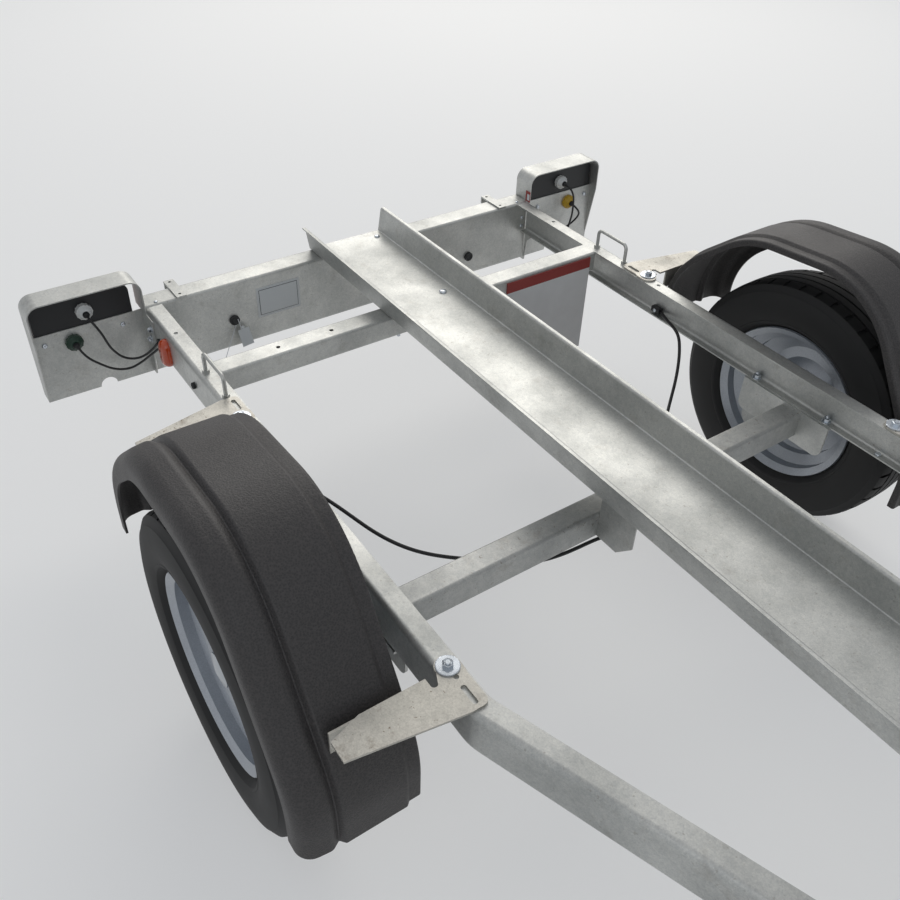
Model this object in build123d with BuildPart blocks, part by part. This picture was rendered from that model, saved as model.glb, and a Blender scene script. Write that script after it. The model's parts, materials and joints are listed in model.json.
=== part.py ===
from build123d import *
import os
from math import atan2, cos, degrees, radians, sin, sqrt, tan

# Motorcycle trailer with one wheel channel, galvanised frame and rubber
# torsion axle. Millimetres. X points forwards to the coupling, Y to the left,
# Z up. The origin is on the ground under the middle of the trailer's length.

# Heights and lengths of the whole frame
rail_top_z = 471.0          # top face of the side rails above the ground
frame_width = 1040.0        # over the outer faces of the side rails
rear_overhang = 80.0        # rear beam's front face to the lamp lenses
rail_straight = 1206.0      # straight run of a side rail before its bend
drawbar_angle = 19.5        # inward turn of the rails, degrees
tip_half_width = 75.0       # outer face of a rail at its front end
nose_reach = 155.0          # coupling nose ahead of the rail tips
running_gap = 0.05          # clearance between pieces that seat on each other

# Side rails and cross members
rail_height = 80.0
rail_flange = 37.0
rail_foot = 20.0            # lower flange
sheet = 3.0
rail_bend_radius = 8.0
rail_end_gap = 5.0          # rail's rear end to the rear beam
rail_corner_radius = 90.0   # plan radius where the rails turn inwards
rear_beam_depth = 54.0
rear_beam_height = 162.0
rear_beam_lip = 25.0
second_beam_width = 50.0
second_beam_height = 50.0
second_beam_centre = 288.0  # ahead of the rear beam's front face
front_beam_setback = 110.0  # centre of the front beam behind the channel's front end
front_beam_size = 40.0
tube_wall = 3.0

# Wheel channel for the motorcycle
channel_floor_width = 188.0
channel_top_width = 206.0
channel_height = 56.0
channel_lip = 8.0
channel_sheet = 3.0
channel_rear = -54.0        # from the rear beam's front face
channel_front_gap = 168.0   # channel's front end to the jockey tube's outer face

# Wheel hoop at the channel's front
hoop_tube = 25.0
hoop_inner_width = 128.0
hoop_height = 430.0
hoop_lean = 12.0
hoop_back = 90.0            # hoop's foot behind the channel's front end

# Wheels and axle
tyre_radius = 281.0
tyre_width = 150.0
rim_radius = 165.0
rim_flange_radius = 178.0
rim_width = 115.0
rim_sheet = 4.0
track = 1373.0
wheel_x = 820.0             # wheel centre ahead of the rear beam's face
arm_trail = 106.0           # axle tube's centre ahead of the wheel centre
axle_top_drop = 86.0        # axle tube's top under the rail's top face
axle_width = 50.0
axle_height = 58.0
axle_wall = 4.0
axle_plate_sheet = 5.0
axle_plate_length = 218.0
axle_plate_height = 76.0
axle_plate_rear = -127.0    # plate's rear end from the axle tube's centre
axle_plate_corner = 18.0
arm_boss = 11.0             # boss between the axle tube and the trailing arm
stud_circle = 100.0
stud_count = 4

# Mudguards
guard_radius = 348.0
guard_inner_gap = 46.0      # inner edge beyond the side rail
guard_width = 196.0
guard_sheet = 4.0
guard_strip = 24.0          # inner strip up to the thin groove
guard_plateau = 108.0       # raised band between the two grooves
guard_groove = 8.0
guard_skirt = 48.0
# Side outline of the arch, from its rear end to its front end, as shares of
# guard_radius. Columns: X and Z from the wheel's centre, radius of the corner
guard_outline = (
    (-1.009, 0.207, 0.0),
    (-1.009, 0.595, 0.647),
    (-0.445, 1.069, 0.632),
    (0.437, 1.147, 0.612),
    (1.017, 0.250, 0.575),
    (1.017, -0.072, 0.0),
)
arm_sheet = 4.0
arm_width = 68.0
arm_tip_reach = 175.0       # arm's outer end beyond the side rail
arm_tab = 20.0              # tab under the bolt, past the lip
arm_lip = 42.0
arm_lip_length = 128.0
arm_notch = 15.0
arm_notch_width = 11.0
arm_corner = 10.0
arm_slot = 38.0
arm_slot_width = 9.0
arm_hole_radius = 4.0

# Lamps
lamp_box_width = 235.0
lamp_box_height = 240.0
lamp_box_top = 70.0         # above the rail's top face
lamp_box_depth = 60.0
lamp_box_radius = 26.0
lamp_box_front = 8.0        # hood's front edge ahead of the rear beam's face
lamp_plate_back = 15.0      # plate behind the rear beam's face
lamp_sheet = 2.5
lamp_width = 205.0
lamp_height = 125.0
lamp_body_depth = 36.0
lamp_clearance = 14.0       # lamp below the hood
socket_size = 24.0
socket_length = 24.0
upper_socket_y = 120.0      # outside the side rail
upper_socket_rise = 22.0
lower_socket_y = 154.0
lower_socket_drop = 42.0

# Side markers
marker_x = 118.0
marker_drop = 48.0
marker_half_width = 19.0
marker_half_height = 32.0
marker_depth = 17.0

# Tie down loops
loop_wire = 8.0
loop_span = 96.0
loop_rise = 50.0
loop_x = 343.0
loop_inset = 16.0           # loop inside the rail's outer face
nut_width = 13.0
nut_height = 6.5
rail_hole_x = (131.0, 511.0)        # spare holes in the rail's top face
rail_hole_radius = 4.5
beam_hole_y = (-224.0, -346.0)      # spare holes in the second beam's top

# Straps on the rear beam
strap_inset = 84.0
strap_width = 22.0
strap_sheet = 4.0
strap_hole_radius = 3.5

# Cables
lamp_cable = 5.0
frame_cable = 7.0
cable_hole_x = 70.0         # grommet in the rail's web
cable_hole_drop = 56.0
clip_x = 512.0
clip_drop = 66.0
clip_length = 24.0
gland_x = 990.0             # glands under the channel support
gland_y = 14.0

# Jockey wheel
jockey_setback = 265.0      # jockey tube behind the rail tips
jockey_outer = 48.0
jockey_inner = 40.0
jockey_tube_top = 790.0
jockey_tube_bottom = 396.0
jockey_wheel_radius = 100.0
jockey_wheel_width = 50.0
jockey_trail = 45.0
fork_top = 236.0
fork_sheet = 4.0
crank_reach = 120.0
crank_grip = 80.0
spindle_length = 320.0

# Coupling
ball_radius = 25.0
socket_radius = 25.4
socket_wall = 6.0
ball_reach = 110.0          # ball centre ahead of the rail tips
plate_sheet = 6.0

# Places worked out from the sizes above
tip_run = (frame_width / 2 - tip_half_width) / tan(radians(drawbar_angle))
tip_reach = rail_end_gap + rail_straight + tip_run
overall_length = rear_overhang + tip_reach + nose_reach
rear_x = -overall_length / 2 + rear_overhang
tip_x = rear_x + tip_reach
rail_y = frame_width / 2
rail_bottom_z = rail_top_z - rail_height
wheel_z = tyre_radius
jockey_x = tip_x - jockey_setback
channel_floor_z = rail_top_z + channel_sheet
channel_rear_x = rear_x + channel_rear
channel_front_x = jockey_x - jockey_outer / 2 - channel_front_gap
channel_length = channel_front_x - channel_rear_x
front_beam_x = channel_front_x - front_beam_setback
axle_x = wheel_x + arm_trail
loop_y = rail_y - loop_inset

os.makedirs("parts", exist_ok=True)
nodes = {}


def keep(builder, label):
    """Label a finished piece and remember it for the export."""
    builder.part.label = label
    nodes[label] = builder.part


def keep_mirrored(builder, name):
    """Keep a piece made on the left side, and its mirror image on the right."""
    keep(builder, name + "_left")
    with BuildPart() as other:
        mirror(builder.part, about=Plane.XZ)
    keep(other, name + "_right")


# Side rails: a C section whose plan turns inwards to the coupling
bend_x = rear_x + rail_end_gap + rail_straight
rail_rear_x = rear_x + rail_end_gap


web_y = frame_width / 2 - sheet / 2
with BuildPart() as side_rail:
    with BuildLine(Plane.XY.offset(rail_top_z)) as rail_path:
        FilletPolyline(
            (rail_rear_x, web_y),
            (bend_x, web_y),
            (tip_x + rail_flange, tip_half_width - rail_flange * tan(radians(drawbar_angle))),
            radius=rail_corner_radius,
        )
    with BuildSketch(Plane.YZ.offset(rail_rear_x)):
        with BuildLine():
            FilletPolyline(
                (frame_width / 2 - rail_foot, rail_bottom_z + sheet / 2),
                (web_y, rail_bottom_z + sheet / 2),
                (web_y, rail_top_z - sheet / 2),
                (frame_width / 2 - rail_flange, rail_top_z - sheet / 2),
                radius=rail_bend_radius,
            )
        trace(line_width=sheet)
    sweep(path=rail_path.line)
    split(bisect_by=Plane.YZ.offset(tip_x), keep=Keep.BOTTOM)
    with Locations(
        (rear_x + loop_x - loop_span / 2, loop_y, rail_top_z),
        (rear_x + loop_x + loop_span / 2, loop_y, rail_top_z),
    ):
        Hole(loop_wire / 2 + running_gap, sheet * 2)
    with Locations([(rear_x + x, rail_y - 19, rail_top_z) for x in rail_hole_x]):
        Hole(rail_hole_radius, sheet * 2)
keep_mirrored(side_rail, "side_rail")

# Rear beam: tall folded sheet whose top flange runs back to the lamps
with BuildPart() as rear_beam:
    with BuildSketch(Plane.XZ.offset(-frame_width / 2 + sheet)):
        with BuildLine():
            FilletPolyline(
                (rear_x - rear_beam_depth, rail_top_z - sheet / 2 - rear_beam_lip),
                (rear_x - rear_beam_depth, rail_top_z - sheet / 2),
                (rear_x - sheet / 2, rail_top_z - sheet / 2),
                (rear_x - sheet / 2, rail_top_z - rear_beam_height),
                (rear_x - rear_beam_lip, rail_top_z - rear_beam_height),
                radius=5,
            )
        trace(line_width=sheet)
    extrude(amount=frame_width - 2 * sheet)
keep(rear_beam, "rear_beam")

# Second beam under the wheel channel
beam_half_length = frame_width / 2 - rail_flange - running_gap
with BuildPart() as second_beam:
    with BuildSketch(Plane.XZ.offset(-beam_half_length)):
        with Locations((rear_x + second_beam_centre, rail_top_z - second_beam_height / 2)):
            RectangleRounded(second_beam_width, second_beam_height, 6)
            RectangleRounded(
                second_beam_width - 2 * tube_wall,
                second_beam_height - 2 * tube_wall,
                3,
                mode=Mode.SUBTRACT,
            )
    extrude(amount=2 * beam_half_length)
    with Locations([(rear_x + second_beam_centre, y, rail_top_z) for y in beam_hole_y]):
        Hole(rail_hole_radius, tube_wall * 2)
keep(second_beam, "second_beam")

# Front beam between the converging rails
front_rear_edge = front_beam_x - front_beam_size / 2
front_front_edge = front_beam_x + front_beam_size / 2


def rail_inner_y(x):
    """Inner edge of a rail's flange where the rails converge."""
    outer = tip_half_width + (tip_x - x) * tan(radians(drawbar_angle))
    return outer - rail_flange / cos(radians(drawbar_angle)) - running_gap


with BuildPart() as front_beam:
    with BuildSketch(Plane.XY.offset(rail_top_z - front_beam_size)):
        with BuildLine():
            Polyline(
                (front_rear_edge, rail_inner_y(front_rear_edge)),
                (front_front_edge, rail_inner_y(front_front_edge)),
                (front_front_edge, -rail_inner_y(front_front_edge)),
                (front_rear_edge, -rail_inner_y(front_rear_edge)),
                close=True,
            )
        make_face()
    extrude(amount=front_beam_size)
    with BuildSketch(Plane.XZ.offset(-frame_width / 2)):
        with Locations((front_beam_x, rail_top_z - front_beam_size / 2)):
            RectangleRounded(
                front_beam_size - 2 * tube_wall, front_beam_size - 2 * tube_wall, 3
            )
    extrude(amount=frame_width, mode=Mode.SUBTRACT)
keep(front_beam, "front_beam")

# Wheel channel: floor, flared walls and narrow lips
channel_mid_z = rail_top_z + channel_sheet / 2
with BuildPart() as wheel_channel:
    with BuildSketch(Plane.YZ.offset(channel_rear_x)):
        with BuildLine():
            FilletPolyline(
                (-channel_top_width / 2 - channel_lip, channel_mid_z + channel_height),
                (-channel_top_width / 2, channel_mid_z + channel_height),
                (-channel_floor_width / 2, channel_mid_z),
                (channel_floor_width / 2, channel_mid_z),
                (channel_top_width / 2, channel_mid_z + channel_height),
                (channel_top_width / 2 + channel_lip, channel_mid_z + channel_height),
                radius=4,
            )
        trace(line_width=channel_sheet)
    extrude(amount=channel_length)
keep(wheel_channel, "wheel_channel")

# Wheel hoop: bent tube that holds the motorcycle's front wheel
hoop_plane = Plane(
    origin=(channel_front_x - hoop_back, 0, channel_floor_z + running_gap),
    x_dir=(0, 1, 0),
    z_dir=(cos(radians(hoop_lean)), 0, -sin(radians(hoop_lean))),
)
hoop_half = (hoop_inner_width + hoop_tube) / 2
with BuildPart() as wheel_hoop:
    with BuildLine(hoop_plane) as hoop_path:
        FilletPolyline(
            (-hoop_half, hoop_tube / 2),
            (-hoop_half, hoop_height),
            (hoop_half, hoop_height),
            (hoop_half, hoop_tube / 2),
            radius=60,
        )
    with BuildSketch(Plane(origin=hoop_path.line @ 0, z_dir=hoop_path.line % 0)):
        Circle(hoop_tube / 2)
    sweep(path=hoop_path.line)
    foot_z = channel_floor_z + running_gap
    with Locations((channel_front_x - hoop_back, 0, foot_z + 3)):
        Box(60, 2 * hoop_half, 6)
    with Locations(
        (channel_front_x - hoop_back, hoop_half, foot_z + 10),
        (channel_front_x - hoop_back, -hoop_half, foot_z + 10),
    ):
        Cylinder(hoop_tube / 2 + 1, 20)
keep(wheel_hoop, "wheel_hoop")

# Axle tube under the rails, with a bent plate on each side that hangs from a rail
axle_z = rail_top_z - axle_top_drop - axle_height / 2
axle_centre_x = rear_x + axle_x
plate_y = frame_width / 2
with BuildPart() as axle_beam:
    with BuildSketch(Plane.XZ.offset(-plate_y)):
        with Locations((axle_centre_x, axle_z)):
            RectangleRounded(axle_width, axle_height, 7)
            RectangleRounded(
                axle_width - 2 * axle_wall,
                axle_height - 2 * axle_wall,
                3,
                mode=Mode.SUBTRACT,
            )
    extrude(amount=2 * plate_y)
keep(axle_beam, "axle_beam")

leaf_y = rail_y - rail_foot
axle_plate_x = axle_centre_x + axle_plate_rear + axle_plate_length / 2
axle_plate_z = rail_bottom_z - axle_plate_height / 2
with BuildPart() as axle_plate:
    with BuildSketch(Plane.XZ.offset(-leaf_y)) as leaf:
        with Locations((axle_plate_x, axle_plate_z)):
            Rectangle(axle_plate_length, axle_plate_height)
        fillet(leaf.vertices().sort_by(Axis.Y)[:2], axle_plate_corner)
        with Locations((axle_centre_x, axle_z)):
            RectangleRounded(
                axle_width + 2 * running_gap, axle_height + 2 * running_gap, 7, mode=Mode.SUBTRACT
            )
    extrude(amount=axle_plate_sheet)
    with BuildSketch(Plane.XY.offset(rail_bottom_z)):
        with Locations((axle_plate_x, leaf_y - axle_plate_sheet)):
            Rectangle(
                axle_plate_length, rail_foot + axle_plate_sheet, align=(Align.CENTER, Align.MIN)
            )
    extrude(amount=-axle_plate_sheet)
    mirror(about=Plane.XZ)
keep(axle_plate, "axle_plate")

# Trailing arms carry the wheel spindles
arm_y = plate_y + arm_boss
arm_boss_radius = axle_width / 2 + 1
arm_thick = 22.0
arm_dx = rear_x + wheel_x - axle_centre_x
arm_dz = wheel_z - axle_z
hub_face_y = track / 2 - 10
with BuildPart() as swing_arm:
    with BuildSketch(Plane.XZ.offset(-arm_y)):
        with BuildLine():
            l1 = CenterArc((axle_centre_x, axle_z), 34, 0, 360)
        make_face()
        with BuildLine():
            l2 = CenterArc((rear_x + wheel_x, wheel_z), 28, 0, 360)
        make_face()
        make_hull()
    extrude(amount=-arm_thick)
    with BuildSketch(Plane.XZ.offset(-plate_y)):
        with Locations((axle_centre_x, axle_z)):
            Circle(arm_boss_radius)
    extrude(amount=-arm_boss - 2)
    with BuildSketch(Plane.XZ.offset(-arm_y)):
        with Locations((rear_x + wheel_x, wheel_z)):
            Circle(17)
    extrude(amount=-(track / 2 - arm_y + 4))
    mirror(about=Plane.XZ)
keep(swing_arm, "swing_arm")

# Wheels: tyre, pressed steel rim and hub
wheel_y = track / 2

# Half plane through the wheel's axis: local X is radius, local Y points outwards
wheel_section = Plane(
    origin=(rear_x + wheel_x, wheel_y, wheel_z), x_dir=(0, 0, 1), z_dir=(-1, 0, 0)
)
wheel_axis = Axis((rear_x + wheel_x, wheel_y, wheel_z), (0, 1, 0))
half_w = tyre_width / 2
bead_radius = rim_radius + rim_sheet / 2 - 1 + running_gap
bead_y = rim_width / 2 - 13
flank_y = rim_width / 2 - 3
with BuildPart() as tyre:
    with BuildSketch(wheel_section):
        with BuildLine():
            Line((bead_radius, bead_y), (rim_flange_radius + 4, flank_y))
            ThreePointArc(
                (rim_flange_radius + 4, flank_y),
                (tyre_radius - 55, half_w),
                (tyre_radius - 14, half_w - 12),
            )
            ThreePointArc(
                (tyre_radius - 14, half_w - 12),
                (tyre_radius - 5, half_w - 17),
                (tyre_radius - 2, half_w - 26),
            )
            ThreePointArc(
                (tyre_radius - 2, half_w - 26),
                (tyre_radius, 0),
                (tyre_radius - 2, -half_w + 26),
            )
            ThreePointArc(
                (tyre_radius - 2, -half_w + 26),
                (tyre_radius - 5, -half_w + 17),
                (tyre_radius - 14, -half_w + 12),
            )
            ThreePointArc(
                (tyre_radius - 14, -half_w + 12),
                (tyre_radius - 55, -half_w),
                (rim_flange_radius + 4, -flank_y),
            )
            Polyline(
                (rim_flange_radius + 4, -flank_y),
                (bead_radius, -bead_y),
                (bead_radius, bead_y),
            )
        make_face()
    revolve(axis=wheel_axis)
keep_mirrored(tyre, "tyre")

with BuildPart() as rim:
    with BuildSketch(wheel_section):
        with BuildLine():
            Polyline(
                (rim_flange_radius, rim_width / 2),
                (rim_radius - 1, rim_width / 2 - 9),
                (rim_radius - 1, rim_width / 2 - 28),
                (rim_radius - 22, rim_width / 2 - 42),
                (rim_radius - 22, -rim_width / 2 + 45),
                (rim_radius - 1, -rim_width / 2 + 30),
                (rim_radius - 1, -rim_width / 2 + 9),
                (rim_flange_radius, -rim_width / 2),
            )
        trace(line_width=rim_sheet)
        with BuildLine():
            Polyline(
                (38, 8),
                (66, 8),
                (84, 24),
                (108, 28),
                (rim_radius - 22, 6),
            )
        trace(line_width=rim_sheet)
    revolve(axis=wheel_axis)
keep_mirrored(rim, "rim")

with BuildPart() as hub:
    with BuildSketch(wheel_section):
        with BuildLine():
            Polyline(
                (17.05, -38),
                (38, -38),
                (62, 0),
                (62, 6 - running_gap),
                (35, 6 - running_gap),
                (31, 44),
                (0, 50),
                (0, 10),
                (17.05, 10),
                close=True,
            )
        make_face()
    revolve(axis=wheel_axis)
keep_mirrored(hub, "hub")

# Mudguards: moulded arch with a flat crown. A raised band lies between a thin
# inner groove and a deep outer one, and the outer shoulder rolls into the skirt
guard_points = [
    (rear_x + wheel_x + x * guard_radius, 0, wheel_z + z * guard_radius)
    for x, z, corner in guard_outline
]
guard_corners = [corner * guard_radius for x, z, corner in guard_outline[1:-1]]
guard_inner_y = rail_y + guard_inner_gap
band_start = guard_inner_y + guard_strip
band_end = band_start + guard_plateau
guard_outer_y = guard_inner_y + guard_width - guard_sheet / 2
roll_crest = band_end + 2.25 * guard_groove
with BuildPart() as mudguard:
    with BuildLine() as guard_line:
        FilletPolyline(*guard_points, radius=guard_corners)
    guard_path = guard_line.wire()
    with BuildSketch(Plane(origin=guard_points[0], x_dir=(-1, 0, 0), z_dir=(0, 0, -1))):
        with BuildLine():
            FilletPolyline(
                (-guard_sheet / 2 - 18, guard_inner_y + guard_sheet / 2),
                (-guard_sheet / 2 - 6, guard_inner_y + guard_sheet / 2),
                (-guard_sheet / 2 - 6, band_start - 2),
                (-guard_sheet / 2, band_start + 5),
                (-guard_sheet / 2, band_end - 4),
                (-guard_sheet / 2 - 10, band_end + guard_groove / 2),
                (-guard_sheet / 2 - 1, roll_crest),
                (-guard_sheet / 2 - 6, guard_outer_y),
                (-guard_skirt, guard_outer_y),
                radius=(3, 3, 3, 3, 4, 12, 26),
            )
        trace(line_width=guard_sheet)
    sweep(path=guard_path)
keep_mirrored(mudguard, "mudguard")


def path_x(path, z, low, high):
    """X of a curve at a height, on its part from share low to share high."""
    rising = (path @ high).Z > (path @ low).Z
    for step in range(40):
        middle = (low + high) / 2
        if ((path @ middle).Z < z) == rising:
            low = middle
        else:
            high = middle
    return (path @ low).X


# Mudguard arms: flat plates on the rails with a lip down to the mudguard, one
# ahead of the arch and one behind it, on each side.
# Columns: name, way the arm stands off from the arch in X, the arch's half, and
# the slot's middle past the lip and inside the rail's outer face
arm_tip_y = rail_y + arm_tip_reach
lip_middle_y = arm_tip_y - 4 - arm_lip_length / 2
lip_bottom_z = rail_top_z - arm_lip
notch_y = rail_y + 10
tab_y = rail_y - 16
tab_radius = 17.0
for name, way, start, end, slot_reach, slot_inset in (
    ("mudguard_arm_front", 1, 0.5, 1.0, 51, 14.5),
    ("mudguard_arm_rear", -1, 0.5, 0.0, 42, 20),
):
    lip_x = path_x(guard_path, lip_bottom_z, start, end) + way * running_gap
    with BuildPart() as guard_arm:
        with BuildSketch(Plane.XY.offset(rail_top_z)) as flat:
            with BuildLine():
                Polyline(
                    (lip_x, arm_tip_y - 50),
                    (lip_x + way * 16, arm_tip_y),
                    (lip_x + way * (arm_width - 23), arm_tip_y),
                    (lip_x + way * arm_width, rail_y + 20),
                    (lip_x + way * arm_width, tab_y - tab_radius),
                    (lip_x - way * arm_tab, tab_y - tab_radius),
                    (lip_x - way * arm_tab, tab_y + tab_radius),
                    (lip_x + way * arm_notch, notch_y),
                    (lip_x + way * arm_notch, notch_y + arm_notch_width),
                    (lip_x, notch_y + arm_notch_width),
                    close=True,
                )
            make_face()
            corners = flat.vertices()
            tab_corners = [v for v in corners if abs(v.X - lip_x + way * arm_tab) < 0.01]
            outer_corners = [
                v for v in corners
                if abs(v.X - lip_x - way * arm_width) < 0.01 and v.Y < rail_y
            ]
            notch_corners = [v for v in corners if abs(v.X - lip_x - way * arm_notch) < 0.01]
            fillet(tab_corners, tab_radius - 1)
            fillet(outer_corners, arm_corner)
            fillet(notch_corners, arm_notch_width / 2 - 0.1)
            with Locations((lip_x + way * slot_reach, rail_y - slot_inset)):
                SlotOverall(arm_slot, arm_slot_width, mode=Mode.SUBTRACT)
            with Locations((lip_x + way * 18, tab_y)):
                Circle(arm_hole_radius, mode=Mode.SUBTRACT)
        extrude(amount=arm_sheet)
        with Locations((lip_x + way * arm_sheet / 2, lip_middle_y, rail_top_z - arm_lip / 2)):
            Box(arm_sheet, arm_lip_length, arm_lip)
        lip_plane = Plane(
            origin=(lip_x, lip_middle_y, lip_bottom_z + 12), x_dir=(0, 1, 0), z_dir=(1, 0, 0)
        )
        with Locations(lip_plane):
            with GridLocations(arm_lip_length - 58, 0, 2, 1):
                Hole(4)
        mirror(about=Plane.XZ)
    keep(guard_arm, name)

# Channel support: folded saddle between the axle tube and the channel floor
support_y = 50.0
support_reach = 86.0
support_drop = axle_top_drop + axle_height
support_x = axle_centre_x + axle_width / 2
with BuildPart() as channel_support:
    for side in (1, -1):
        with BuildSketch(Plane.XZ.offset(-side * support_y)):
            with BuildLine():
                Polyline(
                    (support_x, rail_top_z),
                    (support_x + support_reach, rail_top_z),
                    (support_x + support_reach, rail_top_z - 104),
                    (support_x + support_reach - 34, rail_top_z - support_drop + 5),
                    (support_x, rail_top_z - support_drop + 5),
                    close=True,
                )
            make_face()
        extrude(amount=side * sheet)
    with Locations((support_x + support_reach / 2, 0, rail_top_z - sheet / 2)):
        Box(support_reach, 2 * support_y, sheet)
    with Locations((support_x + sheet / 2, 0, rail_top_z - support_drop / 2 + 2.5)):
        Box(sheet, 2 * support_y, support_drop - 5)
keep(channel_support, "channel_support")

# Lamp brackets: a hood band over a plate that bolts to the rail
lamp_top_z = rail_top_z + lamp_box_top
lamp_bottom_z = lamp_top_z - lamp_box_height
lamp_outer_y = rail_y + lamp_box_width
lamp_plate_front = rear_x - lamp_plate_back
band_front = rear_x + lamp_box_front
plate_top_z = rail_top_z - 10
lamp_y = lamp_outer_y - lamp_sheet - 6 - lamp_width / 2
lamp_z = lamp_top_z - lamp_sheet - lamp_height / 2 - lamp_clearance
upper_socket = (rail_y + upper_socket_y, rail_top_z + upper_socket_rise)
lower_socket = (rail_y + lower_socket_y, rail_top_z - lower_socket_drop)
with BuildPart() as lamp_bracket:
    with BuildSketch(Plane.YZ.offset(band_front - lamp_box_depth)):
        with BuildLine():
            FilletPolyline(
                (lamp_outer_y - lamp_sheet / 2, lamp_bottom_z),
                (lamp_outer_y - lamp_sheet / 2, lamp_top_z - lamp_sheet / 2),
                (rail_y + lamp_sheet / 2, lamp_top_z - lamp_sheet / 2),
                (rail_y + lamp_sheet / 2, rail_top_z - 12),
                radius=lamp_box_radius,
            )
        trace(line_width=lamp_sheet)
    extrude(amount=lamp_box_depth)
    with BuildSketch(Plane.XZ.offset(-lamp_outer_y - 5)):
        with BuildLine():
            Polyline(
                (band_front + 1, rail_top_z - 10),
                (band_front + 1, lamp_bottom_z - 1),
                (lamp_plate_front, lamp_bottom_z - 1),
                (lamp_plate_front, lamp_bottom_z + 15),
                close=True,
            )
        make_face()
    extrude(amount=40, mode=Mode.SUBTRACT)
    with BuildSketch(Plane.YZ.offset(lamp_plate_front)):
        with BuildLine():
            Polyline(
                (rail_y, lamp_bottom_z),
                (lamp_outer_y - lamp_sheet / 2, lamp_bottom_z),
                (lamp_outer_y - lamp_sheet / 2, plate_top_z),
                (rail_y, plate_top_z),
                close=True,
            )
        make_face()
        with Locations((lamp_y - 20, lamp_bottom_z)):
            Circle(18, mode=Mode.SUBTRACT)
        with Locations(lower_socket):
            Circle(socket_size / 2 + 2, mode=Mode.SUBTRACT)
    extrude(amount=-lamp_sheet)
    with BuildSketch(Plane.XZ.offset(-rail_y)):
        with BuildLine():
            FilletPolyline(
                (lamp_plate_front - lamp_sheet, plate_top_z),
                (rear_x + 48, plate_top_z),
                (rear_x + 48, rail_bottom_z + 4),
                (rear_x + 10, rail_bottom_z - 30),
                (rear_x + 2, lamp_bottom_z),
                (lamp_plate_front - lamp_sheet, lamp_bottom_z),
                radius=4,
                close=True,
            )
        make_face()
    extrude(amount=-lamp_sheet)
keep_mirrored(lamp_bracket, "lamp_bracket")

# Lamps: black housing behind the plate, lens at the rear, two sockets in front.
# Each socket narrows to a boot that its cable leaves
housing_front = lamp_plate_front - lamp_sheet
lens_front = housing_front - lamp_body_depth
socket_front = housing_front + socket_length
with BuildPart() as lamp_housing:
    with BuildSketch(Plane.YZ.offset(housing_front)):
        with Locations((lamp_y, lamp_z)):
            RectangleRounded(lamp_width, lamp_height, 12)
    extrude(amount=-lamp_body_depth)
    for socket_y, socket_z in (upper_socket, lower_socket):
        with BuildSketch(Plane(origin=(housing_front, socket_y, socket_z), z_dir=(0, 0, 1))):
            with BuildLine():
                Polyline(
                    (0, 0),
                    (0, socket_size / 2),
                    (socket_length - 12, socket_size / 2),
                    (socket_length - 6, socket_size / 2 - 4),
                    (socket_length - 4, lamp_cable / 2 + 3),
                    (socket_length, lamp_cable / 2 + 1.5),
                    (socket_length, 0),
                    close=True,
                )
            make_face()
        revolve(axis=Axis((housing_front, socket_y, socket_z), (1, 0, 0)))
    mirror(about=Plane.XZ)
keep(lamp_housing, "lamp_housing")

with BuildPart() as lamp_lens:
    with BuildSketch(Plane.YZ.offset(lens_front)):
        with Locations((lamp_y, lamp_z)):
            RectangleRounded(lamp_width - 4, lamp_height - 4, 12)
    extrude(amount=-(rear_overhang + lens_front - rear_x))
    fillet(lamp_lens.faces().sort_by(Axis.X)[0].edges(), 8)
    mirror(about=Plane.XZ)
keep(lamp_lens, "lamp_lens")

# Side markers on the rails' outer faces
with BuildPart() as side_marker:
    with BuildSketch(Plane.XZ.offset(-rail_y)):
        with Locations((rear_x + marker_x, rail_top_z - marker_drop)):
            SlotOverall(2 * marker_half_height, 2 * marker_half_width, rotation=90)
    extrude(amount=-marker_depth)
    fillet(side_marker.faces().sort_by(Axis.Y)[-1].edges(), marker_depth - 3)
    mirror(about=Plane.XZ)
keep(side_marker, "side_marker")

# Tie down loops: bent wire with a nut above and below the rail's flange
with BuildPart() as tie_loop:
    loop_middle = rear_x + loop_x
    with BuildLine(Plane.XZ.offset(-loop_y)) as loop_path:
        FilletPolyline(
            (loop_middle - loop_span / 2, rail_top_z - 14),
            (loop_middle - loop_span / 2, rail_top_z + loop_rise - loop_wire / 2),
            (loop_middle + loop_span / 2, rail_top_z + loop_rise - loop_wire / 2),
            (loop_middle + loop_span / 2, rail_top_z - 14),
            radius=12,
        )
    with BuildSketch(Plane(origin=loop_path.line @ 0, z_dir=(0, 0, 1))):
        Circle(loop_wire / 2)
    sweep(path=loop_path.line)
    for nut_base in (rail_top_z, rail_top_z - sheet - nut_height):
        with BuildSketch(Plane.XY.offset(nut_base)):
            with Locations(
                (loop_middle - loop_span / 2, loop_y), (loop_middle + loop_span / 2, loop_y)
            ):
                RegularPolygon(nut_width / 2, 6, major_radius=False)
        extrude(amount=nut_height)
    mirror(about=Plane.XZ)
keep(tie_loop, "tie_loop")

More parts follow.
